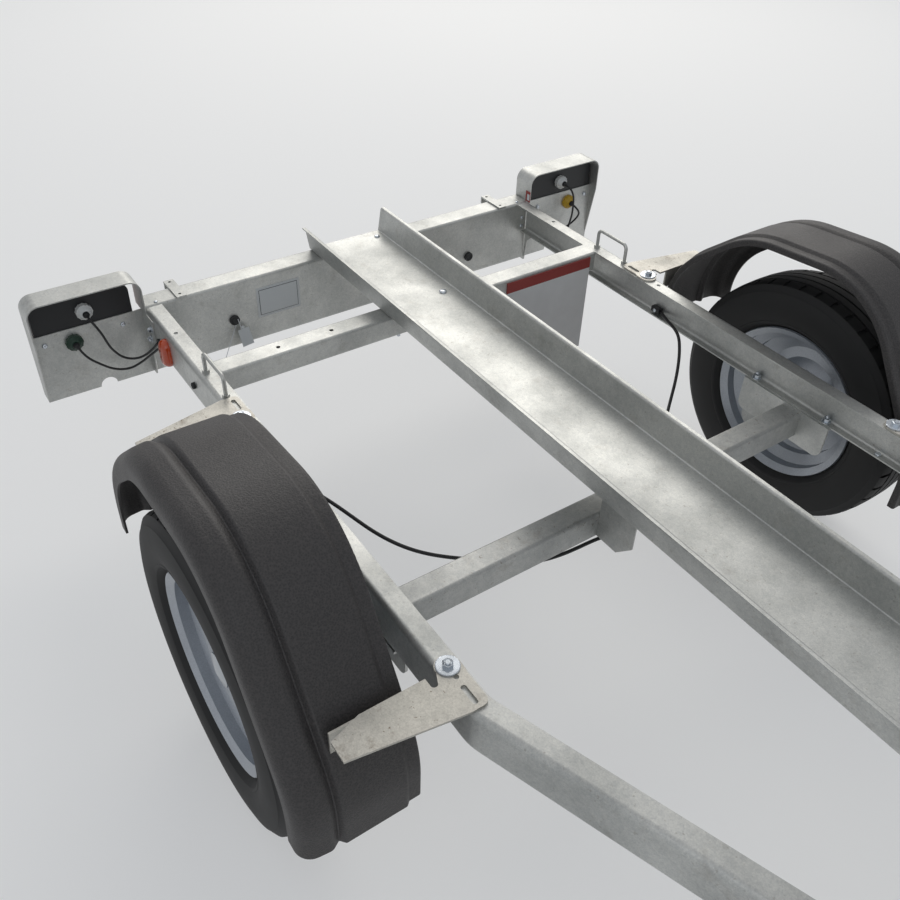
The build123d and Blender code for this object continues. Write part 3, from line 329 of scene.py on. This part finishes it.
# Parts whose surface differs from the rest of their slot
OWN_FINISHES = {
    "mudguard_left": moulded_plastic,
    "mudguard_right": moulded_plastic,
    "mudguard_arm_front": galvanised_plate,
    "mudguard_arm_rear": galvanised_plate,
}
slot_of = {part["node"]: part["material_slot"] for part in frame["record"]["subparts"]}
for name, piece in frame["nodes"].items():
    piece.data.materials.clear()
    piece.data.materials.append(OWN_FINISHES.get(name, FINISHES[slot_of[name]]))


# Modelling helpers

def only(piece):
    """Select one piece and nothing else."""
    bpy.ops.object.select_all(action="DESELECT")
    piece.select_set(True)
    bpy.context.view_layer.objects.active = piece


def settle(piece):
    """Put a piece's place, turn and size into its mesh."""
    only(piece)
    bpy.ops.object.transform_apply(location=True, rotation=True, scale=True)


def fasten(piece, name, finish, body="chassis"):
    """Name a finished piece, give it its finish, and let it ride."""
    settle(piece)
    piece.name = name
    piece.data.name = name
    piece.data.materials.clear()
    piece.data.materials.append(finish)
    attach(piece, body)
    return piece


def choose(piece, kind, wanted):
    """Open a piece for editing with the wanted vertices, edges or faces selected."""
    only(piece)
    bpy.ops.object.mode_set(mode="EDIT")
    bpy.ops.mesh.select_mode(type=kind)
    bpy.ops.mesh.select_all(action="DESELECT")
    bpy.ops.object.mode_set(mode="OBJECT")
    mesh = piece.data
    for part in {"VERT": mesh.vertices, "EDGE": mesh.edges, "FACE": mesh.polygons}[kind]:
        part.select = wanted(part)
    bpy.ops.object.mode_set(mode="EDIT")


def choose_end(piece, out):
    """Open a piece for editing with the face selected that looks along a direction."""
    way = out.normalized()
    choose(piece, "FACE", lambda face: face.normal.dot(way) > 0.9)


def choose_all(piece):
    """Open a piece for editing with all of it selected."""
    only(piece)
    bpy.ops.object.mode_set(mode="EDIT")
    bpy.ops.mesh.select_all(action="SELECT")


def close_edit():
    """Leave editing."""
    bpy.ops.object.mode_set(mode="OBJECT")


def step_in(inset, move):
    """Draw the selected face in from its edge and shift it, in metres."""
    bpy.ops.mesh.inset(thickness=inset)
    bpy.ops.transform.translate(value=move)


def draw_out(length, shrink, middle):
    """Draw the selected face out along X by millimetres and shrink it round a place."""
    bpy.ops.mesh.extrude_region_move(TRANSFORM_OT_translate={"value": (length / 1000, 0, 0)})
    bpy.ops.transform.resize(value=(1, shrink, shrink), center_override=middle)


def smooth(piece, degrees):
    """Shade a piece smoothly over all edges flatter than an angle."""
    only(piece)
    bpy.ops.object.shade_smooth_by_angle(angle=math.radians(degrees))


def soften(piece, width, segments):
    """Bevel a piece's edges by a width in metres."""
    only(piece)
    bevel = piece.modifiers.new("edge", "BEVEL")
    bevel.width = width
    bevel.segments = segments
    bpy.ops.object.modifier_apply(modifier="edge")


AXES = {"X": Vector((1, 0, 0)), "Y": Vector((0, 1, 0)), "Z": Vector((0, 0, 1))}
QUARTER = math.pi / 2
# Turns that lay an upright cylinder along each axis
TURNS = {"X": (0, QUARTER, 0), "Y": (QUARTER, 0, 0), "Z": (0, 0, 0)}


def rod(radius, length, middle, axis="Z", sides=24):
    """A cylinder with its middle at a place, in millimetres, along an axis."""
    bpy.ops.object.select_all(action="DESELECT")
    bpy.ops.mesh.primitive_cylinder_add(
        vertices=sides, radius=radius / 1000, depth=length / 1000, location=middle,
        rotation=TURNS[axis],
    )
    piece = bpy.context.object
    bpy.ops.object.transform_apply(location=False, rotation=True, scale=True)
    return piece


def slab(low, high, edge):
    """A plate between two corners, in millimetres on the trailer, with rounded edges."""
    low, high = spot(*low), spot(*high)
    bpy.ops.object.select_all(action="DESELECT")
    bpy.ops.mesh.primitive_cube_add(size=1, location=(low + high) / 2)
    piece = bpy.context.object
    piece.scale = [abs(c) for c in high - low]
    bpy.ops.object.transform_apply(location=False, rotation=True, scale=True)
    if edge:
        soften(piece, edge / 1000, 2)
    return piece


def join(pieces):
    """Make several pieces one mesh."""
    bpy.ops.object.select_all(action="DESELECT")
    for piece in pieces:
        piece.select_set(True)
    bpy.context.view_layer.objects.active = pieces[0]
    if len(pieces) > 1:
        bpy.ops.object.join()
    return bpy.context.object


def screw(place, axis, way, across, head, washer, washer_thick, shank):
    """A hexagon head on its washer. Its seat is at a place and it stands out along an axis."""
    out = AXES[axis] * way / 1000
    ring = rod(washer / 2, washer_thick, place + out * washer_thick / 2, axis, 28)
    choose_end(ring, out)
    step_in(0.0012, out * 0.5)
    close_edit()
    corner = across / 2 / math.cos(math.pi / 6)
    cap = rod(corner, head, place + out * (washer_thick + head / 2), axis, 6)
    choose_end(cap, out)
    step_in(0.0014, out * 0.7)
    step_in(0.001, out * -0.8)
    close_edit()
    parts = [ring, cap]
    if shank:
        thread = across * 0.3
        end = rod(thread, shank, place + out * (washer_thick + head + shank / 2), axis, 16)
        choose_end(end, out)
        step_in(0.0008, out * 0.8)
        close_edit()
        parts.append(end)
    return join(parts)


def dome(place, axis, way, radius, height):
    """A low domed head on a place, standing out along an axis."""
    out = AXES[axis] * way / 1000
    piece = rod(radius, height * 0.5, place + out * height * 0.25, axis, 24)
    choose_end(piece, out)
    for share, rise in ((0.154, 0.28), (0.252, 0.16), (0.35, 0.06)):
        step_in(radius / 1000 * share, out * height * rise)
    close_edit()
    smooth(piece, 50)
    return piece


# Cables: each hangs from fitting to fitting, along the route measured for it.
# Columns: name, side (1 left, -1 right), diameter, the route's points as on the left side
CABLES = [
    ("upper_lamp_cable_right", -1, 5, (
        (6.5, 640, 22), (25, 638, 17), (31, 630, 0), (29, 623, -19), (26, 618, -38),
        (23, 612, -57), (19, 603, -75), (16, 592, -91), (15, 576, -103), (22, 558, -103),
        (34, 545, -92), (46, 538, -79), (59, 531, -64), (70, 525, -49),
    )),
    ("lower_lamp_cable_right", -1, 5, (
        (6.5, 674, -42), (22, 669, -53), (24, 658, -70), (21, 645, -85), (18, 631, -100),
        (15, 616, -114), (13, 598, -124), (14, 578, -127), (21, 562, -118), (32, 550, -105),
        (44, 541, -91), (58, 533, -77), (70, 525, -63),
    )),
    ("upper_lamp_cable_left", 1, 5, (
        (6.5, 640, 22), (26, 644, 17), (31, 652, -2), (30, 656, -22), (27, 659, -43),
        (25, 660, -63), (23, 657, -84), (25, 649, -103), (29, 633, -116), (34, 614, -121),
        (41, 594, -118), (48, 576, -110), (54, 561, -98), (61, 547, -83), (66, 535, -67),
        (70, 525, -49),
    )),
    ("lower_lamp_cable_left", 1, 5, (
        (6.5, 674, -42), (22, 679, -50), (23, 689, -65), (15, 689, -82), (9, 678, -96),
        (6, 662, -106), (6, 644, -111), (9, 625, -113), (14, 607, -113), (21, 590, -110),
        (30, 574, -104), (39, 559, -96), (49, 546, -86), (60, 535, -75), (70, 525, -63),
    )),
    ("frame_cable_left", 1, 7, (
        (524, 510, -66), (558, 498, -68), (591, 485, -64), (623, 471, -66), (646, 456, -89),
        (663, 441, -117), (680, 421, -141), (699, 395, -158), (719, 368, -170), (740, 341, -178),
        (763, 314, -183), (787, 288, -186), (812, 261, -186), (837, 235, -184), (861, 210, -181),
        (885, 184, -177), (910, 157, -174), (932, 129, -170), (953, 100, -168), (971, 69, -164),
        (984, 39, -151), (990, 20, -122), (990, 14, -87), (991, 14, -51), (990, 14, -15),
    )),
    ("frame_cable_right", -1, 7, (
        (524, 510, -66), (557, 498, -68), (591, 485, -65), (623, 468, -65), (652, 450, -75),
        (679, 431, -90), (707, 414, -105), (738, 399, -116), (768, 382, -125), (793, 359, -137),
        (813, 332, -149), (832, 302, -158), (850, 272, -164), (870, 243, -167), (893, 214, -167),
        (915, 186, -165), (933, 156, -161), (943, 121, -157), (946, 86, -156), (947, 50, -156),
        (958, 18, -147), (977, 5, -121), (987, 7, -87), (990, 11, -51), (990, 14, -15),
    )),
]
for name, side, diameter, route in CABLES:
    curve = bpy.data.curves.new(name, "CURVE")
    curve.dimensions = "3D"
    curve.bevel_depth = diameter / 2000
    curve.bevel_resolution = 5
    curve.use_fill_caps = True
    curve.resolution_u = 6
    line = curve.splines.new("NURBS")
    line.points.add(len(route) - 1)
    for point, (x, y, z) in zip(line.points, route):
        point.co = (*spot(x, side * y, z), 1)
    line.order_u = 3
    line.use_endpoint_u = True
    cord = bpy.data.objects.new(name + "_sheath", curve)
    bpy.context.collection.objects.link(cord)
    curve.materials.append(cable_pvc)
    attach(cord, "chassis")
    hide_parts(name)


# The first piece of each kind and size, and its place
first_made = {}


def place_copy(make, name, place, axis, way, sizes, finish, body="chassis"):
    """Model a kind of fastener once and put a copy with its own mesh at every later place."""
    key = (make.__name__, axis, way, sizes)
    if key in first_made:
        mesh, start = first_made[key]
        piece = bpy.data.objects.new(name, mesh.copy())
        bpy.context.collection.objects.link(piece)
        piece.location = place - start
    else:
        piece = make(place, axis, way, *sizes)
    fasten(piece, name, finish, body)
    first_made.setdefault(key, (piece.data, place))


# Hexagon screws and nuts on the left and the right side.
# Columns: name, place on the left side, axis, way, (across flats, head, washer's diameter,
# washer's thickness, thread that stands out)
SCREWS = [
    ("arm_bolt_front", (1134, 504, 4), "Z", 1, (15, 6, 36, 2, 1.4)),
    ("arm_bolt_rear", (468, 508, 4), "Z", 1, (15, 6, 36, 2, 1.4)),
    ("plate_bolt_front", (1000, 509, -77), "Z", 1, (13, 7, 20, 2, 5)),
    ("plate_bolt_rear", (819, 509, -77), "Z", 1, (13, 7, 20, 2, 5)),
    ("plate_nut_front", (1000, 509, -85), "Z", -1, (13, 8, 20, 2, 6)),
    ("plate_nut_rear", (819, 509, -85), "Z", -1, (13, 8, 20, 2, 6)),
    ("bracket_bolt_upper", (33, 522.5, -36), "Y", 1, (10, 6, 18, 1.6, 0)),
    ("bracket_bolt_lower", (20, 522.5, -66), "Y", 1, (10, 6, 18, 1.6, 0)),
    ("channel_nut", (288, 60, -50), "Z", -1, (13, 8, 24, 2, 8)),
]
for name, (x, y, z), axis, way, sizes in SCREWS:
    for side_name, side in SIDES:
        turned = way * side if axis == "Y" else way
        place_copy(
            screw, name + "_" + side_name, spot(x, y * side, z), axis, turned, sizes, bolt_zinc
        )

# Mudguard arms: plates with a round tab under the bolt, an open notch, a slot, a rounded
# corner and a lip with two bolts down to the mudguard. Places are those of the left side.
# Columns: name, lip's outer face, way, far edge, far edge at the tip, and the middles of the
# tab, the slot and the small hole
GUARD_ARMS = [
    ("mudguard_arm_front", 1134.5, 1, 1212.5, 1185, (1134, 504), (1188, 505.5), (1155, 504)),
    ("mudguard_arm_rear", 473.5, -1, 400.5, 437, (472, 504), (428, 500), (456, 502)),
]
# Out from the trailer's middle: inner end, tip, starts of both edges' tapers, the lip's
# two ends, and its bolts on both sides
ARM_INNER = 487
ARM_TIP = 695
EDGE_TAPER = 527
LIP_TAPER = 645
LIP_SPAN = (563, 691)
LIP_BOLTS = (592, 662, -592, -662)
# The plate's and the lip's thickness, the lip's foot, and the radii of the tab, the notch,
# the slot, the small hole and the outer corner
ARM_THICK = 4
LIP_FOOT = -42
TAB_RADIUS = 19.5
NOTCH_RADIUS = 5.6
SLOT_RADIUS = 4.4
HOLE_RADIUS = 4
CORNER_RADIUS = 11


def long_rod(radius, low, high, middle, way, length):
    """A round ended bar: a cylinder along Z whose one half is drawn out along X."""
    piece = rod(radius, high - low, spot(*middle, (low + high) / 2), "Z", 36)
    choose(piece, "VERT", lambda vertex: vertex.co.x * way > 1e-5)
    bpy.ops.transform.translate(value=(way * length / 1000, 0, 0))
    close_edit()
    return piece


def combine(piece, other, how):
    """Add another piece to one, or cut it away, and drop the other."""
    only(piece)
    change = piece.modifiers.new("combine", "BOOLEAN")
    change.operation = how
    change.solver = "EXACT"
    change.object = other
    bpy.ops.object.modifier_apply(modifier="combine")
    bpy.data.objects.remove(other)


def slice_off(piece, first, second, clear_left):
    """Cut a piece off along the upright plane through two places."""
    start, end = spot(*first, 0), spot(*second, 0)
    across = AXES["Z"].cross(end - start).normalized()
    choose_all(piece)
    bpy.ops.mesh.bisect(
        plane_co=start, plane_no=across, use_fill=True, clear_outer=clear_left,
        clear_inner=not clear_left,
    )
    close_edit()


for name, lip, way, edge, edge_tip, tab, slot, hole in GUARD_ARMS:
    inside, outside = sorted((lip, edge))
    arm = slab((inside, ARM_INNER, 0), (outside, ARM_TIP, ARM_THICK), 0)
    corner = spot(edge, ARM_INNER, 0)

    def at_corner(side):
        ends = [arm.matrix_world @ arm.data.vertices[n].co for n in side.vertices]
        return all((end - corner).to_2d().length < 1e-4 for end in ends)

    choose(arm, "EDGE", at_corner)
    bpy.ops.mesh.bevel(offset=CORNER_RADIUS / 1000, segments=7, affect="EDGES")
    close_edit()
    slice_off(arm, (edge - way * 1.5, EDGE_TAPER), (edge_tip, ARM_TIP), way < 0)
    slice_off(arm, (lip, LIP_TAPER), (lip + way * 16.5, ARM_TIP), way > 0)
    combine(arm, long_rod(TAB_RADIUS, 0, ARM_THICK, tab, way, 12), "UNION")
    wedge = slab((lip - 2, 522, -4), (lip + way * 15, 541.5, 8), 0)
    slice_off(wedge, (lip, 523.2), (lip + way * 15, 530.5), way < 0)
    notch_end, slot_end = (lip + way * 14, 536), (slot[0] - way * 13, slot[1])
    for cutter in (
        wedge, long_rod(NOTCH_RADIUS, -4, 8, notch_end, -way, 24),
        long_rod(SLOT_RADIUS, -4, 8, slot_end, way, 26),
        rod(HOLE_RADIUS, 12, spot(*hole, 2), "Z", 28),
    ):
        combine(arm, cutter, "DIFFERENCE")
    low, high = (lip, LIP_SPAN[0], LIP_FOOT), (lip + way * ARM_THICK, LIP_SPAN[1], 0.5)
    combine(arm, slab(low, high, 0.2), "UNION")
    soften(arm, 0.0003, 1)
    fasten(arm, name + "_plate", galvanised_plate)
    other = bpy.data.objects.new(name + "_right", arm.data.copy())
    bpy.context.collection.objects.link(other)
    other.scale.y = -1
    settle(other)
    choose_all(other)
    bpy.ops.mesh.normals_make_consistent(inside=False)
    close_edit()
    arm = fasten(join([arm, other]), name + "_plate", galvanised_plate)
    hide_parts(name)
    for number, y in enumerate(LIP_BOLTS):
        place_copy(
            screw, "%s_lip_bolt_%d" % (name[9:], number + 1), spot(lip + way * ARM_THICK, y, -30),
            "X", way, (10, 5, 16, 1.5, 3), bolt_zinc,
        )

# Domed heads: lamp screws, channel bolts, rivets and clip screws.
# Columns: name, place, axis, way, (radius, height)
DOMES = [
    ("lamp_screw_outer_left", (-15, 732, -33), "X", 1, (5.5, 4.5)),
    ("lamp_screw_inner_left", (-15, 568, -33), "X", 1, (5.5, 4.5)),
    ("lamp_screw_outer_right", (-15, -732, -33), "X", 1, (5.5, 4.5)),
    ("lamp_screw_inner_right", (-15, -568, -33), "X", 1, (5.5, 4.5)),
    ("channel_bolt_left", (283, 60, 3), "Z", 1, (8.5, 5)),
    ("channel_bolt_right", (293, -60, 3), "Z", 1, (5.5, 2.5)),
    ("channel_rear_bolt_left", (-24, 72, 3), "Z", 1, (6.5, 3.5)),
    ("channel_rear_bolt_right", (-24, -72, 3), "Z", 1, (6.5, 3.5)),
    ("beam_rivet_right", (-10, -491, 0), "Z", 1, (4, 2.5)),
    ("beam_rivet_left", (-10, 491, 0), "Z", 1, (4, 2.5)),
    ("beam_end_rivet_upper", (0, 504, -42), "X", 1, (4.5, 3)),
    ("beam_end_rivet_lower", (0, 504, -66), "X", 1, (4.5, 3)),
    ("beam_end_rivet_upper_right", (0, -504, -42), "X", 1, (4.5, 3)),
    ("beam_end_rivet_lower_right", (0, -504, -66), "X", 1, (4.5, 3)),
    ("clip_screw_left", (512, 503, -66), "Y", -1, (4.5, 3)),
    ("clip_screw_right", (512, -503, -66), "Y", 1, (4.5, 3)),
    ("spare_bolt_left", (1122, 509, -77), "Z", 1, (6, 4)),
    ("spare_bolt_right", (1122, -509, -77), "Z", 1, (6, 4)),
]
for name, place, axis, way, sizes in DOMES:
    place_copy(dome, name, spot(*place), axis, way, sizes, bolt_zinc)

# Road tyres: moulded tread with four grooves, cut shoulders and a stepped wall.
# Columns: radius, half width, from the crown's middle rib down to the bead
CROWN = (281, 9)
TYRE_STEPS = [
    (275, 9.8), (275, 13.2), (280.8, 14), (280.4, 31), (274.6, 31.8), (274.6, 35.2),
    (279.8, 36), (278.4, 52), (275, 60), (268, 64.5), (262, 67.5), (260.6, 69.3),
    (246, 73.1), (226, 74.9), (206, 72.5), (196, 69.1), (194, 70.1), (190, 68.5),
    (186, 62.5), (182.5, 55.4), (166.6, 44.6),
]
# Facets round the tread. On the shoulders every fifth one is cut in: how far across the cuts
# reach, the least radius of a facet that is cut, and the depth in metres
TREAD_SIDES = 216
CUT_EVERY = 5
CUT_SPAN = (36.5, 57)
CUT_RADIUS = 276.5
CUT_DEPTH = 0.004
# A road wheel's middle: from the rear beam, down from the rails' top, out from the middle
WHEEL_X = 820
WHEEL_DROP = 190
WHEEL_Y = 686.5
# Radii of the bolts' circle and the valve's seat
BOLT_CIRCLE = 50
VALVE_RADIUS = 151


def tyre(name, side, body):
    """A tyre with its tread, turned round the wheel's middle."""
    middle = spot(WHEEL_X, side * WHEEL_Y, -WHEEL_DROP)
    radius, half = CROWN
    bpy.ops.object.select_all(action="DESELECT")
    bpy.ops.mesh.primitive_cylinder_add(
        vertices=TREAD_SIDES, radius=radius / 1000, depth=2 * half / 1000,
        end_fill_type="NOTHING", location=middle, rotation=TURNS["Y"],
    )
    piece = bpy.context.object
    bpy.ops.object.transform_apply(location=False, rotation=True, scale=True)
    bpy.ops.object.mode_set(mode="EDIT")
    bpy.ops.mesh.select_mode(type="EDGE")
    bpy.ops.mesh.select_all(action="DESELECT")
    bpy.ops.mesh.select_non_manifold()
    for next_radius, next_half in TYRE_STEPS:
        bpy.ops.mesh.extrude_edges_move()
        growth = next_radius / radius
        bpy.ops.transform.resize(value=(growth, next_half / half, growth), center_override=middle)
        radius, half = next_radius, next_half
    bpy.ops.mesh.bridge_edge_loops()
    close_edit()

    def shoulder_cut(face):
        along = (face.center + piece.location - middle) * 1000
        turn = math.degrees(math.atan2(along.z, along.x)) % 360
        shift = 1 if along.y > 0 else 3
        in_span = CUT_SPAN[0] < abs(along.y) < CUT_SPAN[1]
        in_band = in_span and math.hypot(along.x, along.z) > CUT_RADIUS
        return in_band and int(turn * TREAD_SIDES / 360 + 0.01) % CUT_EVERY == shift

    choose(piece, "FACE", shoulder_cut)
    bpy.ops.mesh.extrude_region_shrink_fatten(TRANSFORM_OT_shrink_fatten={"value": -CUT_DEPTH})
    bpy.ops.mesh.select_all(action="SELECT")
    bpy.ops.mesh.normals_make_consistent(inside=False)
    close_edit()
    smooth(piece, 28)
    fasten(piece, name + "_tread", tyre_rubber, body)
    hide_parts(name)


for side_name, side in SIDES:
    tyre("tyre_" + side_name, side, "wheel_" + side_name)

# Wheel bolts and valves: four bolts on each rim's disc, a black valve in its well
for side_name, side in SIDES:
    for number in range(4):
        turn = math.radians(45 + 90 * number)
        x = WHEEL_X + BOLT_CIRCLE * math.cos(turn)
        z = -WHEEL_DROP + BOLT_CIRCLE * math.sin(turn)
        place_copy(
            screw, "wheel_bolt_%d_%s" % (number + 1, side_name),
            spot(x, side * (WHEEL_Y + 10), z), "Y", side, (17, 11, 23, 3, 0), bolt_zinc,
            "wheel_" + side_name,
        )
    foot = spot(WHEEL_X, side * (WHEEL_Y + 21), -WHEEL_DROP + VALVE_RADIUS)
    out = AXES["Y"] * side / 1000
    stem = rod(6.5, 6, foot + out * 2, "Y", 20)
    choose_end(stem, out)
    for width, length in ((0.00221, 3), (0.00001, 18), (0.00041, 2), (0.00001, 7)):
        bpy.ops.mesh.inset(thickness=width)
        bpy.ops.mesh.extrude_region_move(TRANSFORM_OT_translate={"value": out * length})
    close_edit()
    fasten(stem, "valve_" + side_name, black_abs, "wheel_" + side_name)

# Blank label on the rear beam: white vinyl with a thin dark line round its field
white_edge = slab((0, -265, -107), (0.6, -156, -31), 0.2)
white_field = slab((0, -258, -100), (1.2, -163, -38), 0.2)
fasten(join([white_edge, white_field]), "rear_label", label_vinyl)
fasten(slab((0, -259.2, -101.2), (0.9, -161.8, -36.8), 0.2), "rear_label_line", black_abs)


def grommet(name, place, axis, way, radius):
    """A black plastic ring pushed into a hole, with a dished middle."""
    out = AXES[axis] * way / 1000
    piece = rod(radius, 5, place + out * 2.5, axis, 28)
    choose_end(piece, out)
    step_in(0.0012, out * 1.2)
    step_in(radius / 1000 * 0.42, out * -3.6)
    close_edit()
    smooth(piece, 35)
    fasten(piece, name, black_abs)


RIGHT_GROMMET = spot(0, -325, -93)
grommet("rear_grommet_right", RIGHT_GROMMET, "X", 1, 12)
grommet("rear_grommet_left", spot(0, 332, -110), "X", 1, 12)
grommet("rail_plug_right", spot(262, -520, -45), "Y", -1, 7)
grommet("rail_plug_left", spot(262, 520, -45), "Y", 1, 7)

# Blank tag of pale plastic card that hangs from the right grommet by its eye, with a wire
tag = slab((5.5, -327, -159), (6.5, -299, -117), 0.2)
choose(tag, "FACE", lambda face: face.normal.x > 0.9 and face.area > 0.0005)
step_in(0.0022, (-0.0002, 0, 0))
close_edit()
eye = rod(4, 1.6, spot(6, -313, -113), "X", 20)
choose_end(eye, AXES["X"])
step_in(0.0018, (-0.001, 0, 0))
close_edit()
hanger = rod(1.1, 26, spot(6.5, -318, -104), "Z", 10)
wire = rod(0.8, 88, spot(8, -322, -146), "Z", 10)
hook = RIGHT_GROMMET + AXES["X"] * 0.006
for piece, turns in ((join([tag, eye, hanger]), (("X", -6), ("Y", 14))), (wire, (("X", 24),))):
    settle(piece)
    choose_all(piece)
    for axis, angle in turns:
        bpy.ops.transform.rotate(
            value=math.radians(angle), orient_axis=axis, center_override=hook
        )
    close_edit()
fasten(tag, "beam_tag", label_vinyl)
fasten(wire, "beam_tag_wire", zinc_steel)

# Coloured bayonet caps on the lamp sockets: a ribbed collar that tapers to the boot.
# Columns: name, side, place out from the middle, height, foot, finish, radius, collar, taper
SOCKET_CAPS = [
    ("upper_cap_left", 1, 640, 22, -17.5, white_nylon, 16.5, 11, 8),
    ("upper_cap_right", -1, 640, 22, -17.5, white_nylon, 16.5, 11, 8),
    ("lower_cap_left", 1, 674, -42, -15, yellow_nylon, 17.5, 8, 8),
    ("lower_cap_right", -1, 674, -42, -15, green_nylon, 17.5, 8, 8),
]
for name, side, y, z, foot, finish, radius, collar, taper in SOCKET_CAPS:
    tip = foot + collar + taper
    cap = rod(radius, collar, spot(foot + collar / 2, side * y, z), "X", 48)
    choose_end(cap, AXES["X"])
    bpy.ops.mesh.inset(thickness=0.0012)
    draw_out(taper, 0.66, spot(tip, side * y, z))
    step_in(0.0012, (0.0006, 0, 0))
    close_edit()
    choose(cap, "FACE", lambda face: abs(face.normal.x) < 0.05 and face.index % 4 == 0)
    bpy.ops.mesh.extrude_region_shrink_fatten(TRANSFORM_OT_shrink_fatten={"value": 0.0009})
    close_edit()
    smooth(cap, 25)
    fasten(cap, name, finish)
    boot = rod(7, 5, spot(tip + 2, side * y, z), "X", 24)
    choose_end(boot, AXES["X"])
    draw_out(4, 0.62, spot(tip + 8.5, side * y, z))
    close_edit()
    smooth(boot, 40)
    fasten(boot, name + "_boot", black_abs)

# Small red and white reflector on the left hood's inner side, near its front edge
fasten(slab((-9, 518.2, -1), (9.5, 520, 27), 0.4), "edge_reflector_red", red_acrylic)
fasten(slab((-1, 517.4, 4), (8, 519, 20), 0.3), "edge_reflector_white", label_vinyl)

# Black grip on the jockey wheel's crank
CRANK_REACH = 120
grip = rod(13.5, 72, spot(JOCKEY_X + CRANK_REACH, 0, 370), "Z", 28)
smooth(grip, 40)
fasten(grip, "crank_sleeve", black_abs, "jockey_crank")

# Bolts that hold the coupling's shank on the drawbar, and the clamp's screw
for number, x in enumerate((2345, 2425)):
    place_copy(
        screw, "coupling_bolt_%d" % (number + 1), spot(x, 0, -36), "Z", 1, (19, 10, 30, 3, 6),
        bolt_zinc,
    )
place_copy(
    screw, "clamp_screw", spot(JOCKEY_X + 40, 8, 23), "Y", 1, (17, 10, 24, 2.5, 8), bolt_zinc
)

# Light and floor
world = bpy.data.worlds.new("studio")
bpy.context.scene.world = world
world.use_nodes = True
world.node_tree.nodes.clear()


def seen_rays(owner):
    """One where the camera sees a surface, straight on or in metal and glass, else nought."""
    rays = node(owner, "LightPath").outputs
    seen = rays["Is Camera Ray"]
    for kind in ("Is Glossy Ray", "Is Transmission Ray"):
        seen = node(
            owner, "Math", {"operation": "MAXIMUM"}, i0=seen, i1=rays[kind]
        ).outputs["Value"]
    return seen


# Pale backdrop where it is seen, cooler and dimmer where it lights the trailer
daylight = node(world, "Background", Color=(0.80, 0.88, 1.0, 1), Strength=0.42)
backdrop = node(world, "Background", Color=(0.97, 0.98, 1.0, 1), Strength=0.60)
sky = node(
    world, "MixShader", Fac=seen_rays(world), i1=daylight.outputs["Background"],
    i2=backdrop.outputs["Background"],
)
node(world, "OutputWorld", Surface=sky.outputs["Shader"])


def lamp(name, place, aim, size, power, tint):
    """A soft rectangular studio lamp aimed at a place."""
    data = bpy.data.lights.new(name, "AREA")
    data.shape = "RECTANGLE"
    data.size = size[0]
    data.size_y = size[1]
    data.energy = power
    data.color = tint
    light = bpy.data.objects.new(name, data)
    light.location = place
    light.rotation_euler = (Vector(aim) - Vector(place)).to_track_quat("-Z", "Y").to_euler()
    bpy.context.collection.objects.link(light)


lamp("key_lamp", (-5.0, 3.2, 4.2), (-0.3, 0, 0.4), (5.5, 4.5), 180, (1.0, 0.965, 0.91))
lamp("fill_lamp", (3.6, -3.4, 3.6), (0, 0, 0.3), (4, 4), 26, (0.90, 0.95, 1.0))

bpy.ops.object.select_all(action="DESELECT")
bpy.ops.mesh.primitive_plane_add(size=60, location=(0, 0, 0))
floor = bpy.context.object
floor.name = "floor"
# Pale matt floor that glows a little where it is seen, so that it runs into the backdrop
FLOOR_GLOW = 0.38
material, place = new_material("pale_floor")
glow = node(
    material, "Math", {"operation": "MULTIPLY"}, i0=seen_rays(material), i1=FLOOR_GLOW
).outputs["Value"]
floor.data.materials.append(finish_material(
    material, Base_Color=colour("#BDBCB9"), Roughness=0.95, Emission_Color=colour("#FFFFFF"),
    Emission_Strength=glow,
))
